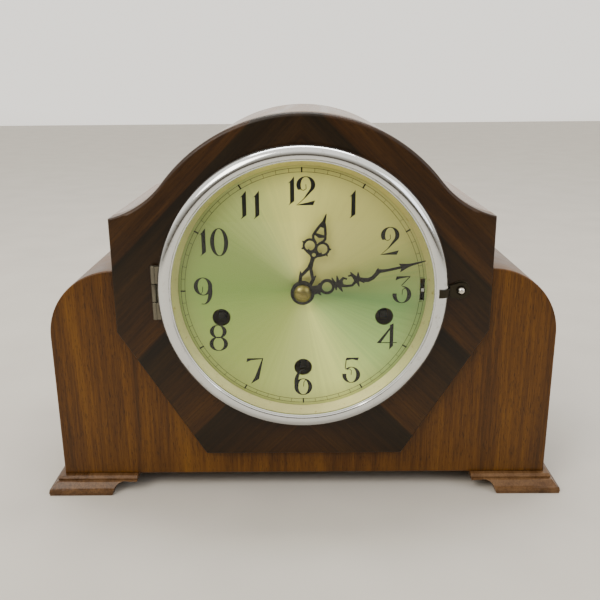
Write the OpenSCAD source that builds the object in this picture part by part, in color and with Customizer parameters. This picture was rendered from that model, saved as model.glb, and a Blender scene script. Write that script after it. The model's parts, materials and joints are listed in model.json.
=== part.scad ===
// Mantel clock: a three-train chiming clock in a veneered, arched wooden case.
// Millimetres. X runs to the right, Y to the back, Z up. The origin is the middle of the
// clock's box, on the surface that it stands on. Depths called "f" are measured back from
// the face of the front board, so a piece in front of that board has a negative f.

/* [Case] */
// Width of the lower case across its two sides
case_w = 298; // [290:1:304]
// Depth from the face of the front board to the back edge of the sides
case_d = 140; // [138:1:150]
// Height of the top of the rounded shoulders above the table
shoulder_z = 141; // [139:0.5:143]
// Radius of the rounded shoulders
shoulder_r = 40; // [34:1:42]
// Thickness of the bent laminate of the sides and the roof
wrap_t = 6; // [5:0.5:7]
// Thickness of the front board
board_t = 9; // [8.5:0.5:9]
// Thickness of the base board
base_t = 9; // [8:0.5:10]
// Height of the two feet
foot_h = 10.8; // [10:0.2:12]
// How far the feet stand out from the front and the sides
foot_out = 8; // [7:0.5:9]

/* [Raised panel and arch] */
// Width of the raised panel and of the roof's two tips
panel_w = 216.6; // [214:0.2:218]
// Thickness of the raised panel
panel_t = 5; // [5:0.5:5.5]
// Width of the raised panel's lower edge
panel_foot_w = 118.4; // [110:0.4:126]
// Height of the raised panel's lower edge
panel_foot_z = 26.7; // [24:0.3:30]
// Height where the slanted edges meet the upright edges
panel_corner_z = 105.3; // [100:0.3:108]
// Radius of the arch, about the middle of the dial
arch_r = 98.9; // [98.5:0.1:100]
// Radius of the hollow where the arch runs out into its two tips
hollow_r = 56.3; // [54:0.1:58]

/* [Dial and bezel] */
// Height of the middle of the dial
dial_z = 130; // [129.5:0.1:130.5]
// Radius of the dial plate
dial_r = 75.5; // [75.4:0.1:75.6]
// Outer radius of the bezel
bezel_r = 82.5; // [82.2:0.1:82.8]
// Length of the hour hand
hour_hand_l = 46.5; // [42:0.5:50]
// Length of the minute hand
minute_hand_l = 71; // [66:0.5:71]
// Direction of the hour hand at rest, in degrees clockwise from the twelve
hour_hand_at = 16.7; // [0:0.1:360]
// Direction of the minute hand at rest, in degrees clockwise from the twelve
minute_hand_at = 75.1; // [0:0.1:360]

/* [Movement] */
// Distance of the two side winding squares from the middle of the dial, across
side_barrel_x = 47; // [46:0.5:47.5]
// Distance of the two side winding squares below the middle of the dial
side_barrel_drop = 16; // [15:0.5:17]
// Distance of the lowest winding square below the middle of the dial
time_barrel_drop = 47; // [46.5:0.5:48]
// Teeth on each spring barrel
barrel_teeth = 48; // [48:1:48]
// Length of the pendulum from its pivot to the middle of the bob
pendulum_l = 96; // [90:1:98]
// Number of chime rods and of hammers
rod_count = 4; // [4:1:4]

/* [Hidden] */
$fn = 96;
front_y = -65;                     // face of the front board
back_f = case_d;
base_top_z = foot_h + base_t;
shoulder_cx = case_w / 2 - shoulder_r;
shoulder_cz = shoulder_z - shoulder_r;
hollow_x = 121.3;
hollow_dz = sqrt(pow(arch_r + hollow_r, 2) - pow(hollow_x, 2));
hollow_z = dial_z + hollow_dz;
arch_angle = atan2(hollow_dz, hollow_x);
board_hole_r = 72;
panel_hole_r = 76.2;

// Depths of the layers in front of the front board
panel_f = -panel_t;
dial_f = -4.6;
dial_t = 1;
base_ring_f = -5.6;
bezel_back_f = -5.9;
bezel_bore_r = 75.6;
glass_t = 1.4;
band_r = 76.9;                     // middle of the bezel's half round band
band_f = -8.6;
band_w = 5.6;                      // radius of the band
glass_rim_f = -12.4;
glass_front_f = -17;
hour_hand_f = -8.4;
minute_hand_f = -10.9;
hand_t = 0.6;
nut_front_f = -14.4;
knob_f = 147;                      // rearmost point of the rear door's knob
bezel_axis = [-84.2, -7.9];        // x and f of the bezel hinge pin
bezel_hinge_l = 32;
catch_x = 90;
rear_axis = [-60, 140.4];          // x and f of the rear door's hinge pin
rear_knuckle_z = [70, 165];

// Movement: plates, arbor places in (x, height above the middle of the dial)
front_plate_f = 14;
back_plate_f = 50;
plate_t = 2.5;
plate_back_f = back_plate_f + plate_t;
plate_half_w = 73;
plate_low = -74;
plate_high = 55;
pillar_spots = [[-67, -67], [67, -67], [-67, 51], [67, 51]];
post_spots = [[-67, -54], [67, -54], [-67, 38], [67, 38]];
run_gap = 0.06;                    // running clearance of pivots, on the radius
fit_gap = 0.05;                    // clearance of screws and studs in their holes
stud_r = 1.2;
base_screw_r = 0.75;
base_screw_ring = 79;
base_screw_angles = [35, 145, 215, 325];
movement_screw_r = 1.5;
foot_screw_r = 1.9;
foot_screw_low = 5;                // height of a foot screw's head over the table
foot_screw_spots = [for (x = [-140, 140], f = [30, 110]) [x, front_y + f]];
winding_hole_r = 5.2;
square_f = 0;                      // front ends of the winding squares
time_spot = [0, -time_barrel_drop];
strike_spot = [-side_barrel_x, -side_barrel_drop];
chime_spot = [side_barrel_x, -side_barrel_drop];
barrel_m = 1;
second_pinion_teeth = 8;
second_m = 0.8;
second_teeth = 48;
centre_pinion_teeth = 10;
barrel_gap = barrel_m * (barrel_teeth + second_pinion_teeth) / 2;
second_gap = second_m * (second_teeth + centre_pinion_teeth) / 2;
second_down = (pow(second_gap, 2) - pow(barrel_gap, 2) + pow(time_barrel_drop, 2))
    / (2 * time_barrel_drop);
second_spot = [-sqrt(pow(second_gap, 2) - pow(second_down, 2)), -second_down];
centre_m = 0.75;
centre_teeth = 40;
third_pinion_teeth = 8;
third_m = 0.7;
third_teeth = 40;
escape_pinion_teeth = 8;
third_spot = [0, centre_m * (centre_teeth + third_pinion_teeth) / 2];
escape_spot = third_spot + [0, third_m * (third_teeth + escape_pinion_teeth) / 2];
escape_r = 8;
verge_spot = escape_spot + [0, 12.6];
motion_m = 0.6;
cannon_teeth = 10;
minute_teeth = 30;
minute_pinion_teeth = 8;
hour_teeth = 32;
minute_wheel_at = 135;
minute_wheel_spot = motion_m * (cannon_teeth + minute_teeth) / 2
    * [cos(minute_wheel_at), sin(minute_wheel_at)];
square_w = 4.2;
arbor_r = 3;
click_turn = 40;
click_gap = 14;
lever_spot = [38, 0];
lever_slot = [68.4, 0];

// Chime: rods along X, hammers on one long arbor along Y behind the movement
rod_z = 34;
rod_r = 1.6;
rod_f = 76;
rod_step = 9;
hammer_pivot = [-62, 60];          // x and height of the hammer arbor
hammer_reach = 36;
hammer_gap = 2;                    // a resting hammer's height above its rod
gong_x = [-129, -115];

// ---- Shared shapes -------------------------------------------------------------------

// Points on an arc in the X-Z plane
function arc(cx, cz, r, from, to, steps) =
    [for (i = [0:steps]) let (a = from + (to - from) * i / steps) [cx + r * cos(a), cz + r * sin(a)]];

// A right half outline, closed by its own mirror image
function both_sides(half) =
    concat(half, [for (i = [len(half) - 1:-1:0]) [-half[i][0], half[i][1]]]);

// Right half of the arch with its hollow tip, grown outwards by g
function arch_half(g) = let (tip_x = panel_w / 2 + g, r = hollow_r - g)
    concat(arc(hollow_x, hollow_z, r, 270 + asin((tip_x - hollow_x) / r), 180 + arch_angle, 10),
        arc(0, dial_z, arch_r + g, arch_angle + 2.5, 88, 20));

// Outline of the raised panel
function panel_outline() = both_sides(concat(
    [[panel_foot_w / 2, panel_foot_z], [panel_w / 2, panel_corner_z]], arch_half(0)));

// Outline of the whole case seen from the front, made smaller by t and closed below at low_z
function case_outline(t, low_z) = both_sides(concat(
    [[case_w / 2 - t, low_z]],
    arc(shoulder_cx, shoulder_cz, shoulder_r - t, 0, 88, 14),
    [[panel_w / 2 - t, shoulder_z - t]],
    arch_half(-t)));

// A flat shape drawn in X-Z, from depth f0 back to depth f1
module slab(f0, f1) {
    translate([0, front_y + f1, 0]) rotate([90, 0, 0]) linear_extrude(f1 - f0) children();
}

// The same, with its zero in the middle of the dial
module dial_slab(f0, f1) {
    translate([0, 0, dial_z]) slab(f0, f1) children();
}

// A round bar along Y
module bar(spot, r, f0, f1) {
    translate([spot[0], front_y + f0, dial_z + spot[1]]) rotate([-90, 0, 0]) cylinder(r = r, h = f1 - f0);
}

// A turned shape about the dial's axis: points are (radius, depth f)
module turned(points) {
    translate([0, front_y, dial_z]) rotate([-90, 0, 0]) rotate_extrude() polygon(points);
}

// A box from low to high corner, with Y given as depth f
module block(low, high) {
    translate([low[0], front_y + low[1], low[2]]) cube([high[0] - low[0], high[1] - low[1], high[2] - low[2]]);
}

// A spur gear with straight-sided teeth; one tooth points to the angle tooth_at
module gear(spot, teeth, m, f0, f1, tooth_at) {
    root_r = m * teeth / 2 - 1.1 * m;
    tip_r = m * teeth / 2 + 0.75 * m;
    tooth = [[-0.24, root_r], [-0.1, tip_r], [0.1, tip_r], [0.24, root_r]];
    dial_slab(f0, f1) translate(spot) polygon([for (i = [0:teeth - 1]) for (p = tooth)
        let (a = tooth_at + (i + p[0]) * 360 / teeth) p[1] * [cos(a), sin(a)]]);
}

// Angle of the line from one arbor to another, and half a tooth further for a gap there
function line_at(from, to) = atan2(to[1] - from[1], to[0] - from[0]);
function gap_at(from, to, teeth) = line_at(from, to) + 180 / teeth;

// The spokes' openings of a wheel
module wheel_windows(spot, r_in, r_out, f0, f1, spokes) {
    dial_slab(f0, f1) translate(spot) for (i = [0:spokes - 1]) rotate(i * 360 / spokes)
        intersection() {
            difference() {
                circle(r = r_out);
                circle(r = r_in);
            }
            polygon([[0.9, 0.9], [r_out * 2, 0.9], [r_out * 2, r_out * 1.6], [r_out * 0.9, r_out * 2]]);
        }
}

// A slotted screw along Y with its head towards the back
module back_screw(spot, f0, f1, r, head_r, head_t) {
    difference() {
        union() {
            bar(spot, r, f0, f1);
            bar(spot, head_r, f1, f1 + head_t);
        }
        dial_slab(f1 + head_t * 0.5, f1 + head_t + 1) translate([spot[0] - head_r, spot[1] - 0.35]) square([2 * head_r, 0.7]);
    }
}

// ---- Wooden case ---------------------------------------------------------------------

// Holes for the catch stud and for the screws of the bezel's fixed half
module front_fixings(f0, f1) {
    bar([catch_x, 0], stud_r + fit_gap, f0, f1);
    for (a = base_screw_angles) bar(base_screw_ring * [cos(a), sin(a)], base_screw_r + fit_gap, f0, f1);
}

module front_board() {
    color("#9a6a3c") difference() {
        slab(0, board_t) polygon(case_outline(0, foot_h));
        bar([0, 0], board_hole_r, -1, board_t + 1);
        for (s = post_spots) bar(s, movement_screw_r + fit_gap, 1.9, board_t + 1);
        front_fixings(-1, 3.1);
    }
}

module raised_panel() {
    color("#5a3418") difference() {
        slab(panel_f, 0) polygon(panel_outline());
        bar([0, 0], panel_hole_r, panel_f - 1, 1);
        front_fixings(panel_f - 1, 1);
    }
}

// The bent laminate all round, as one ring
module case_ring() {
    slab(board_t, back_f) difference() {
        polygon(case_outline(0, base_top_z));
        polygon(case_outline(wrap_t, base_top_z - 1));
    }
}

module arch_roof() {
    color("#8a5a2c") intersection() {
        case_ring();
        block([-case_w, 0, shoulder_z], [case_w, back_f + 1, 300]);
    }
}

module side_wall(side) {
    color("#9a6a3c") intersection() {
        case_ring();
        block([side < 0 ? -case_w : 20, 0, base_top_z], [side < 0 ? -20 : case_w, back_f + 1, shoulder_z]);
    }
}

module left_side() { side_wall(-1); }

module right_side() { side_wall(1); }

module base_board() {
    color("#8a5f38") difference() {
        block([-case_w / 2, board_t, foot_h], [case_w / 2, back_f, base_top_z]);
        for (s = foot_screw_spots) translate([s[0], s[1], foot_h - 1]) cylinder(r = foot_screw_r + fit_gap, h = base_t);
    }
}

// The back panel sits inside the ring and has an arched way in for the movement
back_panel_f = [131, 136];
door_half_w = 50;
door_low_z = 56;
module door_shape(g) {
    translate([0, dial_z + 8]) circle(r = door_half_w + g);
    translate([-door_half_w - g, door_low_z - g]) square([2 * (door_half_w + g), dial_z + 8 - door_low_z + g]);
}

module back_panel() {
    color("#7a5230") difference() {
        slab(back_panel_f[0], back_panel_f[1]) polygon(case_outline(wrap_t, base_top_z));
        slab(back_panel_f[0] - 1, back_panel_f[1] + 1) door_shape(0);
    }
}

// Feet: a moulded rail under each side; its profile runs round the front and the outer side
function foot_profile(edge) = [[edge + foot_out, 0], [edge + foot_out + 0.4, 2], [edge + foot_out, 4],
    [edge + foot_out - 1.2, 4.2], [edge + 4.4, 7.4], [edge + 3.2, 7.8], [edge + 3.6, 9.2],
    [edge + 2.6, foot_h]];
foot_in = [119, 103.3];            // inner edge at the table and at the top
foot_cove_r = 6.5;

module foot(side) {
    color("#7a4a22") difference() {
        foot_rail(side);
        for (s = foot_screw_spots) translate([s[0], s[1], foot_screw_low]) {
            cylinder(r = foot_screw_r + fit_gap, h = foot_h);
            translate([0, 0, -foot_h]) cylinder(r = 3.7, h = foot_h + 0.05);
        }
    }
}

module foot_rail(side) {
    intersection() {
        mirror([side < 0 ? 1 : 0, 0, 0]) slab(-foot_out - 1, back_f) difference() {
            polygon(concat(foot_profile(case_w / 2),
                [[foot_in[1], foot_h], [foot_in[1] + 0.3, foot_h - 3.6], [foot_in[0] - 7.5, foot_h - 3.3],
                 [foot_in[0] - 1, 1], [foot_in[0], 0]]));
            translate([foot_in[0] - 1 - foot_cove_r, 1]) circle(r = foot_cove_r);
        }
        translate([-case_w, front_y, 0]) rotate([90, 0, 90]) linear_extrude(2 * case_w)
            polygon(concat([for (p = foot_profile(0)) [-p[0], p[1]]], [[back_f, foot_h], [back_f, 0]]));
    }
}

module left_foot() { foot(-1); }

module right_foot() { foot(1); }

module foot_screws() {
    color("#8a8a86") for (s = foot_screw_spots) translate([s[0], s[1], foot_screw_low]) {
        cylinder(r = foot_screw_r, h = foot_h - foot_screw_low + 7);
        translate([0, 0, -1.8]) cylinder(r1 = 3.6, r2 = foot_screw_r, h = 1.8);
    }
}

module corner_blocks() {
    block_w = 12;
    color("#a9854f") for (s = [-1, 1], f = [board_t, 80])
        translate([s > 0 ? case_w / 2 - wrap_t - block_w : -case_w / 2 + wrap_t, front_y + f, base_top_z])
            cube([block_w, 40, block_w]);
}

// ---- Dial ----------------------------------------------------------------------------

module dial_plate() {
    slot_w = 2.6;
    slot_h = 13;
    color("#cfcbb2") difference() {
        bar([0, 0], dial_r, dial_f, dial_f + dial_t);
        bar([0, 0], 5.4, dial_f - 1, 0);
        for (s = [time_spot, strike_spot, chime_spot]) bar(s, winding_hole_r, dial_f - 1, 0);
        block([lever_slot[0] - slot_w / 2, dial_f - 1, dial_z - slot_h / 2],
            [lever_slot[0] + slot_w / 2, 0, dial_z + slot_h / 2]);
    }
}

module dial_feet() {
    color("#b08d3c") for (a = [45:90:315])
        bar(62 * [cos(a), sin(a)], 1.8, dial_f + dial_t, front_plate_f);
}

// ---- Bezel door and its fixed half ----------------------------------------------------

knuckle_r = 1.5;
pin_r = 0.6;

// A ring on the raised panel, with a tongue that carries the middle knuckle of the hinge
module bezel_base() {
    color("#b8b8b4") difference() {
        union() {
            turned([[panel_hole_r - 0.6, base_ring_f], [bezel_r - 1, base_ring_f],
                [bezel_r - 1, panel_f], [panel_hole_r - 0.6, panel_f]]);
            block([bezel_axis[0] - 1.6, base_ring_f, dial_z - 15.5],
                [bezel_axis[0] + 8, panel_f, dial_z + 15.5]);
            block([bezel_axis[0] - 1, bezel_axis[1], dial_z - 5], [bezel_axis[0] + 1, base_ring_f, dial_z + 5]);
            translate([bezel_axis[0], front_y + bezel_axis[1], dial_z - 5]) cylinder(r = knuckle_r, h = 10);
        }
        translate([bezel_axis[0], front_y + bezel_axis[1], dial_z - 20]) cylinder(r = pin_r + 0.05, h = 40);
        bar([0, 0], panel_hole_r - 0.6, base_ring_f - 1, 0);
        for (a = base_screw_angles) bar(base_screw_ring * [cos(a), sin(a)], base_screw_r + fit_gap, base_ring_f - 1, 0);
    }
}

module bezel_base_screws() {
    color("#c9a94e") for (a = base_screw_angles)
        bar(base_screw_ring * [cos(a), sin(a)], base_screw_r, base_ring_f, 3);
}

module bezel_hinge_pin() {
    color("#8f8f8a") translate([bezel_axis[0], front_y + bezel_axis[1], dial_z - bezel_hinge_l / 2])
        cylinder(r = pin_r, h = bezel_hinge_l);
}

// Half round band with a narrow ridge round its inner edge, rebated behind for the glass
module bezel_ring() {
    band = arc(band_r, band_f, band_w, 0, -112, 10);
    color("#c7c9c8") {
        turned(concat([[bezel_r, bezel_back_f]], band,
            [[74.4, -13.3], [73.8, -12.9], [73.8, glass_rim_f], [bezel_bore_r, glass_rim_f],
             [bezel_bore_r, bezel_back_f]]));
        difference() {
            union() for (s = [-1, 1]) {
                translate([bezel_axis[0], front_y + bezel_axis[1], dial_z + s * 10.6 - 5.2])
                    cylinder(r = knuckle_r, h = 10.4);
                block([bezel_axis[0], bezel_axis[1] - 0.9, dial_z + s * 10.6 - 5.2],
                    [-80.4, bezel_axis[1] + 0.9, dial_z + s * 10.6 + 5.2]);
            }
            translate([bezel_axis[0], front_y + bezel_axis[1], dial_z - 20]) cylinder(r = pin_r + 0.05, h = 40);
        }
    }
}

module sight_ring() {
    color("#b3974e") turned([[71, -5], [71.2, -5.6], [74.3, -10.6], [bezel_bore_r, -10.8], [bezel_bore_r, -6.4],
        [74, -5]]);
}

// Domed glass: two shallow spherical faces, seated in the bezel's rebate
module dial_glass() {
    dome = glass_rim_f - glass_front_f;
    dome_edge_r = 73.4;
    dome_r = (pow(dome_edge_r, 2) + pow(dome, 2)) / (2 * dome);
    sweep = asin(dome_edge_r / dome_r);
    outer = concat([for (i = [0:12]) let (a = sweep * i / 12)
        [dome_r * sin(a), glass_front_f + dome_r * (1 - cos(a))]], [[bezel_bore_r - 0.1, glass_rim_f + 0.02]]);
    inner = [for (i = [len(outer) - 1:-1:0]) outer[i] + [0, glass_t]];
    color("#dfe8e6", 0.4) turned(concat(outer, inner));
}

// Bent strip that wraps over the half round band and runs out to the stud, with a clearance
// hole for the stud's head
module bezel_tab() {
    strip_t = 0.8;
    strip_half_w = 2.4;
    strip_f = base_ring_f - 1.2;
    color("#5d4a33") {
        difference() {
            union() {
                slab(strip_f, strip_f + strip_t) translate([0, dial_z]) polygon([[bezel_r - 0.4, strip_half_w],
                    [catch_x, 4.4], [catch_x, -4.4], [bezel_r + 2.6, -4.4], [bezel_r - 0.4, -strip_half_w]]);
                bar([catch_x, 0], 4.4, strip_f, strip_f + strip_t);
            }
            bar([catch_x, 0], 2.8, -12, 0);
            bar([0, 0], bezel_r + 0.1, -12, 0);
        }
        intersection() {
            turned(concat([[band_r + band_w + 0.1, strip_f + strip_t]], arc(band_r, band_f, band_w + 0.1, 0, -96, 10),
                arc(band_r, band_f, band_w + 0.1 + strip_t, -96, 0, 10), [[band_r + band_w + 0.1 + strip_t, strip_f + strip_t]]));
            block([band_r - 3, -20, dial_z - strip_half_w], [catch_x, 0, dial_z + strip_half_w]);
        }
    }
}

module catch_plate() {
    color("#4b3a28") difference() {
        union() {
            bar([catch_x, 0], 5.4, base_ring_f + 0.1, panel_f);
            block([bezel_r - 0.8, base_ring_f + 0.1, dial_z - 3.2], [catch_x, panel_f, dial_z + 3.2]);
        }
        bar([catch_x, 0], stud_r + fit_gap, -8, 0);
    }
}

module catch_stud() {
    color("#d8d8d4") union() {
        bar([catch_x, 0], stud_r, -7.4, 3);
        translate([catch_x, front_y - 7.4, dial_z]) intersection() {
            sphere(r = 2.2);
            translate([-3, -3, -3]) cube([6, 3, 6]);
        }
    }
}

// ---- Hands ---------------------------------------------------------------------------

// A flat ring of the given middle radius and width
module ring2(r, w) {
    difference() {
        circle(r = r + w / 2);
        circle(r = r - w / 2);
    }
}

// Pierced hand, drawn pointing up from the middle of the dial
module hour_shape() {
    circle(r = 6);
    polygon([[-2.4, 5], [-3.6, 9.4], [-0.8, 11], [0.8, 11], [3.6, 9.4], [2.4, 5]]);
    polygon([[-0.8, 10], [-0.8, 16], [0.8, 16], [0.8, 10]]);
    translate([0, 16.4]) ring2(1.5, 0.9);
    for (s = [-1, 1]) translate([s * 2.1, 19.6]) ring2(1.8, 0.9);
    difference() {
        polygon([[0, 20], [-3, 24.4], [-4.3, 28.6], [-3, 32], [-0.9, 36], [0, hour_hand_l],
            [0.9, 36], [3, 32], [4.3, 28.6], [3, 24.4]]);
        polygon([[0, 21.8], [-2, 25], [-2.9, 28.2], [2.9, 28.2], [2, 25]]);
        polygon([[-2.8, 29.2], [-2, 31.6], [0, 35.4], [2, 31.6], [2.8, 29.2]]);
    }
}

module minute_shape() {
    circle(r = 6.8);
    polygon([[-1.6, 5.6], [-0.8, 10.4], [0.8, 10.4], [1.6, 5.6]]);
    translate([0, 14]) ring2(3.6, 1);
    polygon([[-0.6, 17.2], [-3.4, 19.6], [-0.6, 20.6], [-0.6, 24], [0.6, 24], [0.6, 20.6], [3.4, 19.6], [0.6, 17.2]]);
    translate([1.1, 26.8]) ring2(2.9, 0.9);
    translate([-1.1, 32]) ring2(2.7, 0.9);
    polygon([[-0.6, 34], [-3.2, 37.2], [-0.6, 38.2], [-0.6, 42], [0.6, 42], [0.6, 38.2], [3.2, 37.2], [0.6, 34]]);
    polygon([[-0.5, 41], [-2.4, 45], [-0.5, 48.4], [0, minute_hand_l], [0.5, 48.4], [2.4, 45], [0.5, 41]]);
}

module minute_hand() {
    color("#1c1b1a") difference() {
        dial_slab(minute_hand_f, minute_hand_f + hand_t) rotate(-minute_hand_at) minute_shape();
        bar([0, 0], 1.65, minute_hand_f - 1, minute_hand_f + 2);
    }
}

module hour_hand() {
    color("#1c1b1a") difference() {
        dial_slab(hour_hand_f, hour_hand_f + hand_t) rotate(-hour_hand_at) hour_shape();
        bar([0, 0], 4.4, hour_hand_f - 1, hour_hand_f + 2);
    }
}

module hand_nut() {
    color("#b6924a") difference() {
        turned([[0, nut_front_f], [2, nut_front_f + 0.2], [3.6, nut_front_f + 0.9], [4.7, nut_front_f + 2],
            [5.1, minute_hand_f - 0.6], [5.1, minute_hand_f], [0, minute_hand_f]]);
        bar([0, 0], 1.6, nut_front_f + 1.6, minute_hand_f + 1);
    }
}

// ---- Movement ------------------------------------------------------------------------

// One brass plate with its pivot holes
module movement_plate(f0, winding_r) {
    difference() {
        dial_slab(f0, f0 + plate_t) translate([-plate_half_w, plate_low])
            square([2 * plate_half_w, plate_high - plate_low]);
        for (s = [time_spot, strike_spot, chime_spot]) bar(s, winding_r + run_gap, f0 - 1, f0 + plate_t + 1);
        bar([0, 0], 1.6 + run_gap, f0 - 1, f0 + plate_t + 1);
        for (s = [second_spot, third_spot, escape_spot, verge_spot]) bar(s, 0.9 + run_gap, f0 - 1, f0 + plate_t + 1);
        for (s = pillar_spots) bar(s, 2.05, f0 - 1, f0 + plate_t + 1);
    }
}

module front_plate() {
    color("#c2a04a") difference() {
        movement_plate(front_plate_f, arbor_r);
        bar(minute_wheel_spot, 0.9 + run_gap, front_plate_f - 1, front_plate_f + plate_t + 1);
        bar(lever_spot, 1.5 + run_gap, front_plate_f - 1, front_plate_f + plate_t + 1);
        for (s = post_spots) bar(s, 1.6, front_plate_f - 1, front_plate_f + plate_t + 1);
    }
}

module back_plate() {
    color("#c2a04a") difference() {
        movement_plate(back_plate_f, 2);
        bar([hammer_pivot[0], hammer_pivot[1] - dial_z], 1.8, back_plate_f - 1, plate_back_f + 1);
    }
}

module plate_pillars() {
    color("#b8933f") for (s = pillar_spots) {
        bar(s, 3.6, front_plate_f + plate_t, back_plate_f);
        bar(s, 2, front_plate_f, front_plate_f + plate_t);
        bar(s, 2, back_plate_f, plate_back_f + 3);
    }
}

module pillar_nuts() {
    color("#8c8c88") for (s = pillar_spots) difference() {
        translate([s[0], front_y + plate_back_f, dial_z + s[1]]) rotate([-90, 0, 0]) cylinder(r = 4, h = 2.6, $fn = 6);
        bar(s, 2, plate_back_f - 1, plate_back_f + 4);
    }
}

// Spacers between the front plate and the back of the front board
module movement_posts() {
    color("#8c8c88") for (s = post_spots) difference() {
        bar(s, 4, board_t, front_plate_f);
        bar(s, 1.6, board_t - 1, front_plate_f + 1);
    }
}

module movement_screws() {
    color("#6c6c68") for (s = post_spots) back_screw(s, 2, front_plate_f + plate_t, movement_screw_r, 3.2, 1.8);
}

// Ratchet on each winding arbor, and its click on the front plate
ratchet_f = [18, 20];
ratchet_r = 8.6;
module winding_arbor(spot) {
    color("#9b9b96") {
        bar(spot, arbor_r, 11, back_plate_f - 0.3);
        bar(spot, 2, back_plate_f - 0.3, plate_back_f + 1);
        dial_slab(square_f, 11) translate(spot - [square_w, square_w] / 2) square(square_w);
        dial_slab(ratchet_f[0], ratchet_f[1]) translate(spot) polygon([for (i = [0:15])
            for (p = [[0, ratchet_r - 1.6], [0.1, ratchet_r]]) let (a = (i + p[0]) * 22.5)
                p[1] * [cos(a), sin(a)]]);
    }
}

module time_arbor() { winding_arbor(time_spot); }

module strike_arbor() { winding_arbor(strike_spot); }

module chime_arbor() { winding_arbor(chime_spot); }

module ratchet_clicks() {
    color("#8c8c88") for (s = [time_spot, strike_spot, chime_spot]) {
        pivot = s + click_gap * [cos(click_turn), sin(click_turn)];
        bar(pivot, 1.2, front_plate_f + plate_t, ratchet_f[1] + 0.6);
        bar(pivot, 2.6, ratchet_f[0], ratchet_f[1]);
        tip = s + 9.6 * [cos(click_turn + 35), sin(click_turn + 35)];
        across = [-sin(line_at(pivot, tip)), cos(line_at(pivot, tip))];
        dial_slab(ratchet_f[0], ratchet_f[1])
            polygon([pivot - 2 * across, pivot + 2 * across, tip + 0.4 * across, tip - 0.4 * across]);
    }
}

// A spring barrel: toothed plate, drum and cap with the spring's space inside
barrel_f = [24, 26.5, 40];
module barrel(spot, tooth_at) {
    color("#c2a04a") difference() {
        union() {
            gear(spot, barrel_teeth, barrel_m, barrel_f[0], barrel_f[1], tooth_at);
            bar(spot, 21, barrel_f[1], barrel_f[2]);
        }
        bar(spot, arbor_r + 0.08, barrel_f[0] - 1, barrel_f[2] + 1);
        difference() {
            bar(spot, 19.6, barrel_f[1], barrel_f[2] - 1.2);
            bar(spot, 6, barrel_f[1] - 1, barrel_f[2]);
        }
    }
}

module time_barrel() { barrel(time_spot, line_at(time_spot, second_spot)); }

module strike_barrel() { barrel(strike_spot, 0); }

module chime_barrel() { barrel(chime_spot, 0); }

// A train arbor between the plates, with its two pivots
module train_arbor(spot, f0, f1) {
    bar(spot, 1.5, front_plate_f + plate_t + 0.3, back_plate_f - 0.3);
    bar(spot, 0.9, f0, f1);
}

module second_wheel() {
    color("#c2a04a") {
        difference() {
            gear(second_spot, second_teeth, second_m, 42, 43.6, gap_at(second_spot, [0, 0], second_teeth));
            wheel_windows(second_spot, 5, 15.6, 41, 45, 4);
        }
        gear(second_spot, second_pinion_teeth, barrel_m, 22.5, 29,
            gap_at(second_spot, time_spot, second_pinion_teeth));
        train_arbor(second_spot, front_plate_f + 0.3, plate_back_f - 0.3);
    }
}

module centre_arbor() {
    color("#a8a8a2") bar([0, 0], 1.6, nut_front_f + 1.7, plate_back_f - 0.3);
    color("#c2a04a") {
        gear([0, 0], centre_pinion_teeth, second_m, 41, 45, line_at([0, 0], second_spot));
        difference() {
            gear([0, 0], centre_teeth, centre_m, 34, 35.5, line_at([0, 0], third_spot));
            wheel_windows([0, 0], 4, 11.6, 33, 37, 4);
        }
    }
}

module third_wheel() {
    color("#c2a04a") {
        gear(third_spot, third_pinion_teeth, centre_m, 32, 37, gap_at(third_spot, [0, 0], third_pinion_teeth));
        difference() {
            gear(third_spot, third_teeth, third_m, 28, 29.4, line_at(third_spot, escape_spot));
            wheel_windows(third_spot, 3.6, 10.8, 27, 31, 4);
        }
        train_arbor(third_spot, front_plate_f + 0.3, plate_back_f - 0.3);
    }
}

module escape_wheel() {
    color("#c2a04a") {
        gear(escape_spot, escape_pinion_teeth, third_m, 26, 32,
            gap_at(escape_spot, third_spot, escape_pinion_teeth));
        dial_slab(44, 45.2) translate(escape_spot) polygon([for (i = [0:23]) for (p = [[0, 6], [0.55, escape_r], [0.62, 6]])
            let (a = (i + p[0]) * 15) p[1] * [cos(a), sin(a)]]);
        train_arbor(escape_spot, front_plate_f + 0.3, plate_back_f - 0.3);
    }
}

// Motion work between the front plate and the dial
module cannon_pinion() {
    color("#c2a04a") difference() {
        union() {
            gear([0, 0], cannon_teeth, motion_m, 9, 12, line_at([0, 0], minute_wheel_spot));
            bar([0, 0], 3, minute_hand_f + hand_t, 9);
        }
        bar([0, 0], 1.62, minute_hand_f - 1, 13);
    }
}

module minute_wheel() {
    color("#c2a04a") {
        gear(minute_wheel_spot, minute_teeth, motion_m, 9.6, 11.2,
            gap_at(minute_wheel_spot, [0, 0], minute_teeth));
        gear(minute_wheel_spot, minute_pinion_teeth, motion_m, 4, 9.6,
            gap_at(minute_wheel_spot, [0, 0], minute_pinion_teeth));
        bar(minute_wheel_spot, 0.9, 3, front_plate_f + plate_t - 0.3);
    }
}

module hour_wheel() {
    color("#c2a04a") difference() {
        union() {
            gear([0, 0], hour_teeth, motion_m, 5, 6.8, line_at([0, 0], minute_wheel_spot));
            bar([0, 0], 4.4, hour_hand_f - 0.4, 5);
        }
        bar([0, 0], 3.4, hour_hand_f - 1, 8);
    }
}

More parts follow.
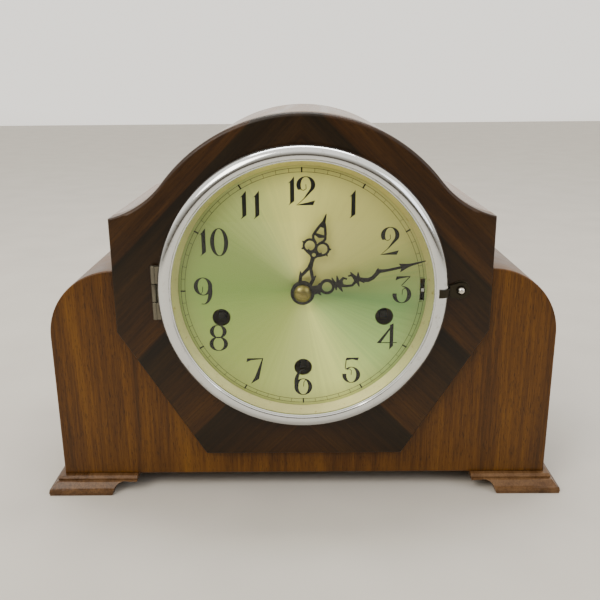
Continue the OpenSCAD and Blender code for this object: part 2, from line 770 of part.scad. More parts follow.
// Lever that silences the chime; its tip stands in the slot beside the three
module silent_lever() {
    tip_w = 1.6;
    color("#9b9b96") {
        bar(lever_spot, 1.5, 10, front_plate_f + plate_t - 0.2);
        difference() {
            union() {
                bar(lever_spot, 3.2, 10.4, 11.6);
                block([lever_spot[0], 10.4, dial_z - 1.5], [lever_slot[0] + tip_w / 2, 11.6, dial_z + 1.5]);
            }
            bar(lever_spot, 1.5, 9, 13);
        }
        block([lever_slot[0] - tip_w / 2, dial_f - 0.9, dial_z - 1], [lever_slot[0] + tip_w / 2, 10.4, dial_z + 1]);
    }
}

// Verge with its two pallets, crutch, pendulum rod, bob and rating nut
module pendulum() {
    pallet_r = escape_r + 1.4;
    rod_at_f = 58;
    bob_f = [54.5, 61.5];
    color("#9b9b96") {
        bar(verge_spot, 1.5, front_plate_f + plate_t + 0.3, back_plate_f - 0.3);
        bar(verge_spot, 0.9, front_plate_f + 0.3, rod_at_f);
        for (s = [-1, 1]) dial_slab(43.6, 45.6) polygon([verge_spot + [0, 1.6], verge_spot + [s * 8.4, -2.6],
            escape_spot + pallet_r * [s * cos(38), sin(38)], verge_spot + [s * 6.4, -3.6],
            verge_spot + [0, -1.6]]);
        bar(verge_spot, 2.2, rod_at_f - 1.5, rod_at_f + 1.5);
        dial_slab(rod_at_f - 0.6, rod_at_f + 0.6) translate(verge_spot + [-0.8, -pendulum_l - 16])
            square([1.6, pendulum_l + 16]);
    }
    color("#c2a04a") translate([0, 0, -pendulum_l]) {
        translate([verge_spot[0], front_y, dial_z + verge_spot[1]]) rotate([-90, 0, 0]) rotate_extrude()
            polygon([[0, bob_f[0]], [9, bob_f[0] + 0.6], [13, bob_f[0] + 3.1], [13, bob_f[1] - 3.1],
                [9, bob_f[1] - 0.6], [0, bob_f[1]]]);
        translate([verge_spot[0], front_y + rod_at_f, dial_z + verge_spot[1] - 15.5]) cylinder(r = 3.2, h = 2.4);
    }
}

// ---- Chime ---------------------------------------------------------------------------

function rod_at(k) = rod_f + (k - 1) * rod_step;

module gong_block() {
    color("#3a3a3a") difference() {
        block([gong_x[0], rod_f - 8, base_top_z], [gong_x[1], rod_at(rod_count) + 8, rod_z + 6]);
        for (k = [1:rod_count]) translate([gong_x[0] - 1, front_y + rod_at(k), rod_z]) rotate([0, 90, 0])
            cylinder(r = rod_r, h = 30);
    }
}

module chime_rods() {
    color("#8a7a5a") for (k = [1:rod_count]) translate([gong_x[0] + 2, front_y + rod_at(k), rod_z])
        rotate([0, 90, 0]) cylinder(r = rod_r, h = 250 - 16 * k);
}

module gong_screws() {
    color("#8c8c88") for (f = [rod_f - 4, rod_at(rod_count) + 4])
        translate([(gong_x[0] + gong_x[1]) / 2, front_y + f, rod_z + 6]) {
            cylinder(r = 3.4, h = 2.2);
        }
}

// Long arbor that the hammers swing on, with its post on the base board
module hammer_arbor() {
    post_f = rod_at(rod_count) + 8;
    color("#9b9b96") {
        bar([hammer_pivot[0], hammer_pivot[1] - dial_z], 1.8, back_plate_f, post_f + 3);
        difference() {
            block([hammer_pivot[0] - 6, post_f, base_top_z], [hammer_pivot[0] + 6, post_f + 2.5, hammer_pivot[1] + 5]);
            bar([hammer_pivot[0], hammer_pivot[1] - dial_z], 1.8, post_f - 1, post_f + 4);
        }
    }
}

module hammer(k) {
    f = rod_at(k);
    head_x = hammer_pivot[0] - hammer_reach;
    head_low = rod_z + rod_r + hammer_gap;
    color("#b8933f") translate([0, front_y + f, 0]) {
        difference() {
            union() {
                translate([hammer_pivot[0], -3, hammer_pivot[1]]) rotate([-90, 0, 0]) cylinder(r = 4, h = 6);
                translate([head_x, -1, hammer_pivot[1] - 1]) cube([hammer_reach - 2, 2, 2]);
                translate([head_x, 0, head_low + 2]) cylinder(r = 3.2, h = hammer_pivot[1] + 3 - head_low - 2);
            }
            translate([hammer_pivot[0], -10, hammer_pivot[1]]) rotate([-90, 0, 0])
                cylinder(r = 1.8 + run_gap, h = 20);
        }
        translate([head_x, 0, head_low]) cylinder(r = 2.4, h = 2);
    }
}

module hammer_1() { hammer(1); }

module hammer_2() { hammer(2); }

module hammer_3() { hammer(3); }

module hammer_4() { hammer(4); }

// ---- Rear door -----------------------------------------------------------------------

door_f = [136.3, 139.9];
door_lap = 5;
rear_knuckle_l = 6;

module rear_door() {
    color("#7a5230") slab(door_f[0], door_f[1]) door_shape(door_lap);
}

// Two butt hinges: the case half carries the middle knuckle, the door half the outer ones
module rear_hinge_leaf() {
    color("#b8933f") for (z = rear_knuckle_z) difference() {
        union() {
            block([rear_axis[0] - 16, back_panel_f[1], z - 9], [rear_axis[0] - 3, back_panel_f[1] + 1, z + 9]);
            block([rear_axis[0] - 4, back_panel_f[1], z - 3], [rear_axis[0] - 3, rear_axis[1] + 0.5, z + 3]);
            block([rear_axis[0] - 4, rear_axis[1] - 0.5, z - 3], [rear_axis[0] - 1, rear_axis[1] + 0.5, z + 3]);
            translate([rear_axis[0], front_y + rear_axis[1], z - 3]) cylinder(r = 1.9, h = 6);
        }
        translate([rear_axis[0], front_y + rear_axis[1], z - 20]) cylinder(r = 0.85, h = 40);
    }
}

module rear_hinge_pin() {
    color("#8f8f8a") for (z = rear_knuckle_z) translate([rear_axis[0], front_y + rear_axis[1], z - 9.4])
        cylinder(r = 0.8, h = 18.8);
}

module rear_door_knuckles() {
    color("#b8933f") for (z = rear_knuckle_z, s = [-1, 1]) difference() {
        union() {
            translate([rear_axis[0], front_y + rear_axis[1], z + s * 6.2 - 2.9]) cylinder(r = 1.9, h = 5.8);
            block([rear_axis[0], rear_axis[1] - 0.5, z + s * 6.2 - 2.9],
                [rear_axis[0] + 14, rear_axis[1] + 0.5, z + s * 6.2 + 2.9]);
        }
        translate([rear_axis[0], front_y + rear_axis[1], z - 20]) cylinder(r = 0.85, h = 40);
    }
}

module rear_knob() {
    knob_x = 44;
    knob_z = 118;
    color("#b8933f") translate([knob_x, front_y, knob_z]) rotate([-90, 0, 0]) rotate_extrude()
        polygon([[0, door_f[1]], [5, door_f[1]], [5, door_f[1] + 0.8], [2.2, door_f[1] + 1.6], [2.2, door_f[1] + 3],
            [4.6, door_f[1] + 4.4], [4.6, knob_f - 1], [3.4, knob_f], [0, knob_f]]);
}

front_board();
raised_panel();
arch_roof();
left_side();
right_side();
base_board();
back_panel();
left_foot();
right_foot();
foot_screws();
corner_blocks();
dial_plate();
dial_feet();
bezel_base();
bezel_base_screws();
bezel_hinge_pin();
catch_plate();
catch_stud();
front_plate();
back_plate();
plate_pillars();
pillar_nuts();
movement_posts();
movement_screws();
ratchet_clicks();
gong_block();
chime_rods();
gong_screws();
hammer_arbor();
rear_hinge_leaf();
rear_hinge_pin();
bezel_ring();
sight_ring();
dial_glass();
bezel_tab();
rear_door();
rear_knob();
rear_door_knuckles();
minute_hand();
hand_nut();
centre_arbor();
cannon_pinion();
minute_wheel();
hour_hand();
hour_wheel();
second_wheel();
third_wheel();
escape_wheel();
time_barrel();
strike_barrel();
chime_barrel();
time_arbor();
strike_arbor();
chime_arbor();
silent_lever();
pendulum();
hammer_1();
hammer_2();
hammer_3();
hammer_4();
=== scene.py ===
# Mantel clock with a veneered, arched case: the looks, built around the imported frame.
import bpy
import bmesh
import json
import math
from mathutils import Matrix, Vector


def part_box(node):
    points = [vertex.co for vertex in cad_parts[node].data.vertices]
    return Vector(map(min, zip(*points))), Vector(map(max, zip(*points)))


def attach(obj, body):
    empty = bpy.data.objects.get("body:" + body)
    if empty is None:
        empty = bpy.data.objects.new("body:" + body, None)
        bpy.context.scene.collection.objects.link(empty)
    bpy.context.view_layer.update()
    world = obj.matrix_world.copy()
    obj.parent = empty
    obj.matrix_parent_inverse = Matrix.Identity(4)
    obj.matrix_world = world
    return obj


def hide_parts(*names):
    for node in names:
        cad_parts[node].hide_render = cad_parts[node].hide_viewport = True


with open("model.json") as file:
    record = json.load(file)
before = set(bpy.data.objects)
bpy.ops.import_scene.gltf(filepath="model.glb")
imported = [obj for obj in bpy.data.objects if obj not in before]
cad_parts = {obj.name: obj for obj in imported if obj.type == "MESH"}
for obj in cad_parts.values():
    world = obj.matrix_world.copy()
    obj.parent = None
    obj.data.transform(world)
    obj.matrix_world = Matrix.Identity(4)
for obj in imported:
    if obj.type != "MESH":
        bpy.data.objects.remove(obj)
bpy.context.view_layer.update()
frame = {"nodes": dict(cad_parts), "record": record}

# The camera stands half a metre in front of the clock and a little above the dial. It looks
# down at the case, as someone in front of the mantel would.
eye = Vector((0.0009, -0.4755, 0.2452))
turn = math.radians(-0.34)
tilt = math.radians(16.59)
lean = math.radians(0.49)
ahead = Vector((math.sin(turn) * math.cos(tilt), math.cos(turn) * math.cos(tilt), -math.sin(tilt)))
level_right = Vector((math.cos(turn), -math.sin(turn), 0))
level_up = level_right.cross(ahead)
camera_right = level_right * math.cos(lean) - level_up * math.sin(lean)
camera_up = camera_right.cross(ahead)
camera_data = bpy.data.cameras.new("camera")
camera_data.sensor_width = 36
camera_data.lens = 44.3
camera_data.clip_start = 0.01
camera = bpy.data.objects.new("camera", camera_data)
camera.matrix_world = Matrix((
    (camera_right.x, camera_up.x, -ahead.x, eye.x),
    (camera_right.y, camera_up.y, -ahead.y, eye.y),
    (camera_right.z, camera_up.z, -ahead.z, eye.z),
    (0, 0, 0, 1)))
bpy.context.collection.objects.link(camera)
bpy.context.scene.camera = camera


# Front board: a 9 mm board, cut to the whole outline of the case, with a round way in for
# the dial. It is faced with straight-grained walnut veneer under a glossy lacquer.
MM = 0.001
board_low, board_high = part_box("front_board")
dial_low, dial_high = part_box("dial_plate")
panel_low, panel_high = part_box("raised_panel")
face_y = board_low[1]
dial_z = (dial_low[2] + dial_high[2]) / 2
case_half = board_high[0]
panel_half = panel_high[0]
arch_radius = panel_high[2] - dial_z
dial_opening = 72 * MM
shoulder_top = 141 * MM
shoulder_radius = 40 * MM
hollow_radius = 56.3 * MM
hollow_x = 121.3 * MM
hollow_up = math.sqrt((arch_radius + hollow_radius) ** 2 - hollow_x ** 2)


def arc(x, z, radius, start, end, steps):
    """Points on an arc in X-Z, angles in degrees."""
    angles = [math.radians(start + (end - start) * i / steps) for i in range(steps + 1)]
    return [(x + radius * math.cos(a), z + radius * math.sin(a)) for a in angles]


def both_sides(half):
    """A right half outline closed by its mirror image."""
    return half + [(-x, z) for x, z in reversed(half)]


def arch_half(grow):
    """Right half of the arch, its hollow and its tip, grown outwards."""
    tip, hollow = panel_half + grow, hollow_radius - grow
    meet = math.degrees(math.atan2(hollow_up, hollow_x))
    tip_angle = 270 + math.degrees(math.asin((tip - hollow_x) / hollow))
    return (arc(hollow_x, dial_z + hollow_up, hollow, tip_angle, 180 + meet, 24)
            + arc(0, dial_z, arch_radius + grow, meet + 1, 89.5, 60))


def case_half_outline(inset, bottom):
    """Right half of the case's outline, from the bottom edge to the top of the arch."""
    centre = case_half - shoulder_radius
    return ([(case_half - inset, bottom)]
            + arc(centre, shoulder_top - shoulder_radius, shoulder_radius - inset, 0, 88, 36)
            + [(panel_half - inset, shoulder_top - inset)]
            + arch_half(-inset))


def circle(x, z, radius, steps):
    """A closed circle in X-Z."""
    return arc(x, z, radius, 0, 360 - 360 / steps, steps - 1)


def inset_loop(outline, depths):
    """The outline moved inwards by a depth at each point, mitred at its corners."""
    moved = []
    for i, point in enumerate(outline):
        before, after = Vector(outline[i - 1]), Vector(outline[(i + 1) % len(outline)])
        a, b = (Vector(point) - before).normalized(), (after - Vector(point)).normalized()
        normal_a, normal_b = Vector((-a.y, a.x)), Vector((-b.y, b.x))
        middle = (normal_a + normal_b) / max(0.4, 1 + normal_a.dot(normal_b))
        moved.append(tuple(Vector(point) + middle * depths[i]))
    return moved


def new_piece(name, bm, body, material, smooth=35):
    """Makes an object of a finished bmesh, smooth up to an angle, riding on a body."""
    bmesh.ops.recalc_face_normals(bm, faces=bm.faces)
    mesh = bpy.data.meshes.new(name)
    bm.to_mesh(mesh)
    bm.free()
    mesh.polygons.foreach_set("use_smooth", [True] * len(mesh.polygons))
    mesh.set_sharp_from_angle(angle=math.radians(smooth))
    piece = bpy.data.objects.new(name, mesh)
    bpy.context.collection.objects.link(piece)
    mesh.materials.append(material)
    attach(piece, body)
    return piece


def board_mesh(outline, holes, front, back, rounds=0.0, back_round=0.0):
    """A flat board in X-Z; rounds gives the radius of its front edge at each point, or at all."""
    bm = bmesh.new()
    count = len(outline)
    if not isinstance(rounds, list):
        rounds = [rounds] * count
    loops = []
    steps = 6
    for i in range(steps + 1 if any(rounds) else 1):
        a = math.pi / 2 * i / steps
        points = inset_loop(outline, [r * (1 - math.sin(a)) for r in rounds]) if any(rounds) else outline
        loops.append([bm.verts.new((x, front + r * (1 - math.cos(a)), z))
                      for (x, z), r in zip(points, rounds)])
    if back_round:
        loops.append([bm.verts.new((x, back - back_round, z)) for x, z in outline])
    last = inset_loop(outline, [back_round] * count) if back_round else outline
    loops.append([bm.verts.new((x, back, z)) for x, z in last])
    for near, far in zip(loops, loops[1:]):
        for i in range(count):
            bm.faces.new((near[i], near[(i + 1) % count], far[(i + 1) % count], far[i]))
    ends = {0: [loops[0]], 1: [loops[-1]]}
    for hole in holes:
        near = [bm.verts.new((x, front, z)) for x, z in hole]
        far = [bm.verts.new((x, back, z)) for x, z in hole]
        size = len(hole)
        for i in range(size):
            bm.faces.new((near[i], near[(i + 1) % size], far[(i + 1) % size], far[i]))
        ends[0].append(near)
        ends[1].append(far)
    for rings in ends.values():
        edges = [bm.edges.get((ring[i - 1], ring[i])) for ring in rings for i in range(len(ring))]
        bmesh.ops.triangle_fill(bm, use_beauty=True, use_dissolve=False, edges=edges)
    # An edge left square has all its loops in one place; merging them leaves no empty faces.
    bmesh.ops.remove_doubles(bm, verts=bm.verts, dist=0.0000002)
    return bm


def linear(colour):
    """An sRGB hex colour as linear RGBA."""
    parts = [int(colour[i:i + 2], 16) / 255 for i in (1, 3, 5)]
    return tuple(c / 12.92 if c <= 0.04045 else ((c + 0.055) / 1.055) ** 2.4 for c in parts) + (1,)


def add(tree, kind, settings=None, links=None):
    """One node with its settings and its links."""
    item = tree.nodes.new("ShaderNode" + kind)
    for key, value in (settings or {}).items():
        if isinstance(key, int) or key in item.inputs:
            item.inputs[key].default_value = value
        else:
            setattr(item, key, value)
    for key, source in (links or {}).items():
        tree.links.new(source, item.inputs[key])
    return item


def new_material(name):
    """An empty material with its node tree."""
    material = bpy.data.materials.new(name)
    material.use_nodes = True
    material.node_tree.nodes.clear()
    return material, material.node_tree


def finish_material(tree, surface):
    """Joins a surface to the material's output."""
    add(tree, "OutputMaterial", links={"Surface": surface.outputs[0]})


def ramp(tree, source, stops):
    """A colour ramp with (place, hex colour) stops."""
    item = add(tree, "ValToRGB", links={"Fac": source})
    band = item.color_ramp
    while len(band.elements) < len(stops):
        band.elements.new(0.5)
    for element, (place, colour) in zip(band.elements, stops):
        element.position = place
        element.color = linear(colour)
    return item


def streaks(tree, coords, width, length, detail=3.0, wander=0.0):
    """Noise drawn out along the grain: width across and length along it, in metres."""
    scale = (1 / width, 1 / width, 1 / length)
    stretched = add(tree, "Mapping", {"Scale": scale}, {"Vector": coords})
    return add(tree, "TexNoise", {"Scale": 1.0, "Detail": detail, "Roughness": 0.55, "Distortion": wander},
               {"Vector": stretched.outputs["Vector"]}).outputs["Fac"]


def veneer(name, grain_coords, tones, pore, gloss, shade=None, shade_tones=None):
    """Lacquered veneer: broad figure, fibres 1.6 mm wide and dark open pores.

    The eye sees warm streaks along the grain under an even, slightly wavy shine.
    """
    material, tree = new_material(name)
    coords = grain_coords(tree)
    figure = streaks(tree, coords, 22 * MM, 300 * MM, 2.0, 0.8)
    fibre = streaks(tree, coords, 1.6 * MM, 60 * MM, 4.0, 0.2)
    hair = streaks(tree, coords, 0.5 * MM, 18 * MM, 2.0)
    both = add(tree, "Mix", {"data_type": "FLOAT", 0: 0.42}, {2: figure, 3: fibre})
    mixed = add(tree, "Mix", {"data_type": "FLOAT", 0: 0.25}, {2: both.outputs[0], 3: hair}).outputs[0]
    places = (0.34, 0.45, 0.54, 0.66)
    colour = ramp(tree, mixed, list(zip(places, tones))).outputs["Color"]
    if shade:
        dark = ramp(tree, mixed, list(zip(places, shade_tones))).outputs["Color"]
        shaded = shade(tree, coords)
        colour = add(tree, "Mix", {"data_type": "RGBA"}, {0: shaded, 6: colour, 7: dark}).outputs[2]
    pores = streaks(tree, coords, 0.4 * MM, 4 * MM, 1.0)
    pitted = add(tree, "MapRange", {"From Min": 0.58, "From Max": 0.70, "To Max": 0.6}, {"Value": pores})
    stained = add(tree, "Mix", {"data_type": "RGBA", 7: linear(pore)}, {0: pitted.outputs[0], 6: colour})
    level = add(tree, "MapRange",
                {"From Min": 0.3, "From Max": 0.7, "To Min": gloss, "To Max": gloss + 0.12},
                {"Value": figure})
    waves = add(tree, "TexNoise", {"Scale": 60.0, "Detail": 2.0}, {"Vector": coords})
    relief = add(tree, "Mix", {"data_type": "FLOAT", 0: 0.4}, {2: pores, 3: waves.outputs["Fac"]})
    bump = add(tree, "Bump", {"Strength": 0.12, "Distance": 0.0004}, {"Height": relief.outputs[0]})
    surface = add(tree, "BsdfPrincipled", {"IOR": 1.48, "Specular IOR Level": 0.26},
                  {"Base Color": stained.outputs[2], "Roughness": level.outputs[0],
                   "Normal": bump.outputs[0]})
    finish_material(tree, surface)
    return material


def upright_grain(tree):
    """Grain that runs up the board."""
    return add(tree, "TexCoord").outputs["Object"]


walnut = veneer("walnut_veneer_lacquered", upright_grain,
                ("#2d1a04", "#432707", "#55340a", "#67430e"), "#1b0f02", 0.3)
front_outline = both_sides(case_half_outline(0, board_low[2]))
below_tip = shoulder_top - 0.001 * MM
front_rounds = [1.0 * MM if z < below_tip else 0.0 for x, z in front_outline]
front_hole = circle(0, dial_z, dial_opening, 120)
cut_board = board_mesh(front_outline, [front_hole], face_y, board_high[1], front_rounds)
front_board = new_piece("front_board_veneered", cut_board, "case", walnut)
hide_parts("front_board")


# Sides with their rounded shoulders: 6 mm bent laminate under the same walnut veneer, with
# its grain upright. The edges towards the back are only eased.
wrap = 6 * MM
rear_ease = 0.6 * MM
side_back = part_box("left_side")[1][1]
side_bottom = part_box("left_side")[0][2]
outer_side = case_half_outline(0, side_bottom)[:-len(arch_half(0))]
inner_side = case_half_outline(wrap, side_bottom)[:-len(arch_half(0))]
right_loop = outer_side + list(reversed(inner_side[:-1] + [(inner_side[-1][0], shoulder_top - wrap)]))
left_loop = [(-x, z) for x, z in reversed(right_loop)]
for side, loop in (("left", left_loop), ("right", right_loop)):
    bent = board_mesh(loop, [], board_high[1], side_back, back_round=rear_ease)
    wall = new_piece(side + "_side_veneered", bent, "case", walnut)
    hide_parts(side + "_side")


# Roof: one bent sheet over the arch, its two hollows and the upright cheeks under the tips.
# Brown veneer with the grain from front to back, glossier than the front, in lighter tones that are a
# painted reflection of the wall.
def lengthwise_grain(tree):
    """Grain that runs from the front to the back of the roof."""
    split = add(tree, "SeparateXYZ", links={"Vector": add(tree, "TexCoord").outputs["Object"]})
    return add(tree, "CombineXYZ", links={"X": split.outputs["X"], "Y": split.outputs["Z"],
                                          "Z": split.outputs["Y"]}).outputs[0]


# Painted reflection: these tones are lighter and greyer than the front's, standing for the wall that the
# roof mirrors at a slant.
roof_walnut = veneer("roof_veneer_painted_reflection", lengthwise_grain,
                     ("#38210c", "#4f3216", "#65431f", "#7b552b"), "#26150a", 0.16)
outer_roof = [(panel_half, shoulder_top)] + arch_half(0)
inner_roof = [(panel_half - wrap, shoulder_top)] + arch_half(-wrap)
roof_loop = (outer_roof + [(-x, z) for x, z in reversed(outer_roof)]
             + [(-x, z) for x, z in inner_roof] + list(reversed(inner_roof)))
bent_roof = board_mesh(roof_loop, [], board_high[1], side_back, back_round=rear_ease)
roof = new_piece("arch_roof_veneered", bent_roof, "case", roof_walnut)
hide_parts("arch_roof")


# Raised panel: a 5 mm board with a softly rounded edge, faced with dark walnut. The two
# halves are book-matched on the middle line, with the grain rising to it at 45 degrees.
def matched_grain(tree):
    """Grain at 45 degrees, mirrored on the middle line: X across the grain, Z along it."""
    split = add(tree, "SeparateXYZ", links={"Vector": add(tree, "TexCoord").outputs["Object"]})
    out = add(tree, "Math", {"operation": "ABSOLUTE"}, {0: split.outputs["X"]}).outputs[0]
    total = add(tree, "Math", {"operation": "ADD"}, {0: out, 1: split.outputs["Z"]}).outputs[0]
    spread = add(tree, "Math", {"operation": "SUBTRACT"}, {0: out, 1: split.outputs["Z"]}).outputs[0]
    half = math.sqrt(0.5)
    across = add(tree, "Math", {"operation": "MULTIPLY", 1: half}, {0: total}).outputs[0]
    along = add(tree, "Math", {"operation": "MULTIPLY", 1: half}, {0: spread}).outputs[0]
    return add(tree, "CombineXYZ", links={"X": across, "Y": split.outputs["Y"], "Z": along}).outputs[0]


def strip_shading(tree, coords):
    """Each strip of veneer is light along its lower edge and darkens to its upper one.

    Joints are in millimetres across the grain, for the left half and then the right.
    """
    span = 250
    blur = 0.3
    across = add(tree, "SeparateXYZ", links={"Vector": coords}).outputs["X"]
    side = add(tree, "SeparateXYZ", links={"Vector": add(tree, "TexCoord").outputs["Object"]}).outputs["X"]
    right = add(tree, "Math", {"operation": "GREATER_THAN", 1: 0.0}, {0: side}).outputs[0]
    part = add(tree, "Math", {"operation": "DIVIDE", 1: span * MM}, {0: across}).outputs[0]
    halves = []
    for joints in ((24, 75, 131, 178, 236), (24, 74, 133, 169, 236)):
        band = add(tree, "ValToRGB", links={"Fac": part})
        marks = band.color_ramp
        while len(marks.elements) < 2 * len(joints) - 2:
            marks.elements.new(0.5)
        places = [(place, dark) for low, high in zip(joints, joints[1:])
                  for place, dark in ((low + blur, 0.0), (high - blur, 1.0))]
        for element, (place, dark) in zip(marks.elements, places):
            element.position = place / span
            element.color = (dark, dark, dark, 1)
        halves.append(band.outputs["Color"])
    return add(tree, "Mix", {"data_type": "RGBA"}, {0: right, 6: halves[0], 7: halves[1]}).outputs[2]


dark_walnut = veneer("dark_walnut_book_matched", matched_grain,
                     ("#1d1003", "#2b1805", "#392208", "#482d0b"), "#0d0601", 0.3,
                     strip_shading, ("#0b0601", "#120b02", "#1a1103", "#231705"))
panel_foot_half = 59.2 * MM
panel_corner = 105.3 * MM
panel_opening = 76.2 * MM
arch_from = 175 * MM
panel_outline = both_sides([(panel_foot_half, panel_low[2]), (panel_half, panel_corner)] + arch_half(0))
panel_rounds = [2.4 * MM if z > arch_from else 1.2 * MM for x, z in panel_outline]
panel_hole = circle(0, dial_z, panel_opening, 120)
panel_board = board_mesh(panel_outline, [panel_hole], panel_low[1], face_y, panel_rounds)
raised_panel = new_piece("raised_panel_book_matched", panel_board, "case", dark_walnut)
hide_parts("raised_panel")


# Feet: two stained hardwood mouldings, run from front to back under the sides.
def ease_edges(piece, width, angle):
    """Bevels edges sharper than an angle, by that many millimetres."""
    ease = piece.modifiers.new("eased_edges", "BEVEL")
    ease.width = width * MM
    ease.segments = 2
    ease.limit_method = "ANGLE"
    ease.angle_limit = math.radians(angle)


def finish_cad(node, material, edge):
    """Gives a CAD piece its finish and eases its edges by that many millimetres."""
    piece = frame["nodes"][node]
    piece.data.materials.clear()
    piece.data.materials.append(material)
    weld = piece.modifiers.new("weld", "WELD")
    weld.merge_threshold = 0.00001
    ease_edges(piece, edge, 30)


foot_wood = veneer("foot_hardwood_stained", lengthwise_grain,
                   ("#312010", "#49311b", "#5d4228", "#715436"), "#24160a", 0.24)
for foot in ("left_foot", "right_foot"):
    finish_cad(foot, foot_wood, 0.5)


# Back panel and rear door: plain stained plywood, brushed thin and left dull. The base board
# has the case's own veneer on its edges. The glue blocks in the corners are planed pine.
plywood = veneer("plywood_stained", upright_grain,
                 ("#4a311a", "#5f4226", "#735334", "#866443"), "#382312", 0.45)
for node in ("back_panel", "rear_door"):
    finish_cad(node, plywood, 0.4)
finish_cad("base_board", walnut, 0.4)
pine = veneer("pine_planed", lengthwise_grain,
              ("#9a7443", "#b08a55", "#c29d66", "#d0ae79"), "#8a6436", 0.5)
finish_cad("corner_blocks", pine, 0.5)


# Dial: a silvered brass disc 1 mm thick, spun with fine circular brushing under a yellowed
# lacquer. Its colour carries painted sheen in wedges from the middle, painted greenish reflections and
# painted shade at its rim.
dial_radius = dial_high[0]


def polar(tree):
    """Direction from the dial's middle, and distance from it in metres."""
    split = add(tree, "SeparateXYZ", links={"Vector": add(tree, "TexCoord").outputs["Object"]})
    up = add(tree, "Math", {"operation": "SUBTRACT", 1: dial_z}, {0: split.outputs["Z"]}).outputs[0]
    flat = add(tree, "CombineXYZ", links={"X": split.outputs["X"], "Z": up}).outputs[0]
    aim = add(tree, "VectorMath", {"operation": "NORMALIZE"}, {0: flat}).outputs["Vector"]
    reach = add(tree, "VectorMath", {"operation": "LENGTH"}, {0: flat}).outputs["Value"]
    return aim, reach


def silvered():
    """Brushed silvering; its colour holds painted sheen in wedges from the middle, painted green reflections
    and a painted shaded rim.
    """
    material, tree = new_material("silvered_brass_painted_sheen")
    aim, reach = polar(tree)
    parts = add(tree, "SeparateXYZ", links={"Vector": aim})
    angle = add(tree, "Math", {"operation": "ARCTAN2"}, {0: parts.outputs["X"], 1: parts.outputs["Z"]})
    share = add(tree, "MapRange", {"From Min": -math.pi, "From Max": math.pi}, {"Value": angle.outputs[0]})
    rays = add(tree, "TexNoise", {"Scale": 26.0, "Detail": 3.0, "Roughness": 0.6},
               {"Vector": aim}).outputs["Fac"]
    sway = add(tree, "Math", {"operation": "MULTIPLY_ADD", 1: 0.06, 2: -0.03}, {0: rays}).outputs[0]
    place = add(tree, "Math", {"operation": "ADD"}, {0: share.outputs[0], 1: sway}).outputs[0]
    # Painted highlights and reflections: the bright wedges stand for the sheen of the spun disc, and the
    # green ones for a green cloth it mirrors.
    painted_sheen_wedges = [(-180, "#cdd682"), (-150, "#aebc66"), (-90, "#87a253"), (-58, "#93a65e"), (-32, "#bfca7c"),
              (-4, "#f2ee8c"), (30, "#cfca7a"), (62, "#b4b368"), (98, "#769a5a"), (134, "#b4d07c"),
              (160, "#eef693"), (180, "#cdd682")]
    tone = ramp(tree, place, [((degrees + 180) / 360, colour) for degrees, colour in painted_sheen_wedges])
    speckle = add(tree, "TexNoise", {"Scale": 420.0, "Detail": 3.0, "Roughness": 0.7},
                  {"Vector": add(tree, "TexCoord").outputs["Object"]}).outputs["Fac"]
    spots = add(tree, "MapRange", {"From Min": 0.70, "From Max": 0.78, "To Max": 0.3}, {"Value": speckle})
    # Painted shade: the silvering darkens from 58 mm out to its rim, where the bezel and sight ring shade
    # it.
    edge = add(tree, "MapRange", {"From Min": 58 * MM, "From Max": 75 * MM, "To Max": 0.4}, {"Value": reach})
    rim_painted_shade = add(tree, "Mix", {"data_type": "RGBA", 7: linear("#9a9468")},
               {0: edge.outputs[0], 6: tone.outputs["Color"]})
    stained = add(tree, "Mix", {"data_type": "RGBA", 7: linear("#6e6446")},
                  {0: spots.outputs[0], 6: rim_painted_shade.outputs[2]})
    lines = add(tree, "Math", {"operation": "MULTIPLY", 1: 1 / (0.25 * MM)}, {0: reach}).outputs[0]
    brushing = add(tree, "TexNoise", {"noise_dimensions": "1D", "Scale": 1.0, "Detail": 2.0}, {"W": lines})
    bump = add(tree, "Bump", {"Strength": 0.05, "Distance": 0.0001}, {"Height": brushing.outputs["Fac"]})
    tangent = add(tree, "Tangent", {"direction_type": "RADIAL", "axis": "Y"})
    surface = add(tree, "BsdfPrincipled", {"Metallic": 0.35, "Roughness": 0.42, "Anisotropic": 0.7},
                  {"Base Color": stained.outputs[2], "Normal": bump.outputs[0],
                   "Tangent": tangent.outputs[0]})
    finish_material(tree, surface)
    return material


silver = silvered()
centre_hole = 5.4 * MM
winding_hole = 5.2 * MM
dial_holes = [circle(0, dial_z, centre_hole, 48)]
for x, z in ((0, -47), (-47, -16), (47, -16)):
    dial_holes.append(circle(x * MM, dial_z + z * MM, winding_hole, 48))
slot_left, slot_right = 67.1 * MM, 69.7 * MM
slot_half = 6.5 * MM
dial_holes.append([(slot_left, dial_z - slot_half), (slot_right, dial_z - slot_half),
                   (slot_right, dial_z + slot_half), (slot_left, dial_z + slot_half)])
dial_edge = circle(0, dial_z, dial_radius, 180)
dial_board = board_mesh(dial_edge, dial_holes, dial_low[1], dial_high[1], 0.1 * MM)
dial = new_piece("dial_silvered", dial_board, "case", silver)
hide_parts("dial_plate")


# Printed ring and figures: black enamel ink, screen printed on the silvering. The minute
# ring is two fine lines with a tick for each minute and a heavy mark for each hour.
def enamel(name, colour, rough):
    """Black film with a faint unevenness, which breaks its shine into soft patches."""
    material, tree = new_material(name)
    coords = add(tree, "TexCoord").outputs["Object"]
    film = add(tree, "TexNoise", {"Scale": 900.0, "Detail": 2.0}, {"Vector": coords}).outputs["Fac"]
    level = add(tree, "MapRange", {"To Min": rough, "To Max": rough + 0.25}, {"Value": film})
    tone = ramp(tree, film, [(0.3, colour), (0.8, "#1b1916")])
    surface = add(tree, "BsdfPrincipled", {"IOR": 1.5, "Specular IOR Level": 0.3},
                  {"Base Color": tone.outputs["Color"], "Roughness": level.outputs[0]})
    finish_material(tree, surface)
    return material


ink = enamel("printed_black_ink", "#0c0d09", 0.5)
ink_back = dial_low[1]
ink_front = ink_back - 0.05 * MM


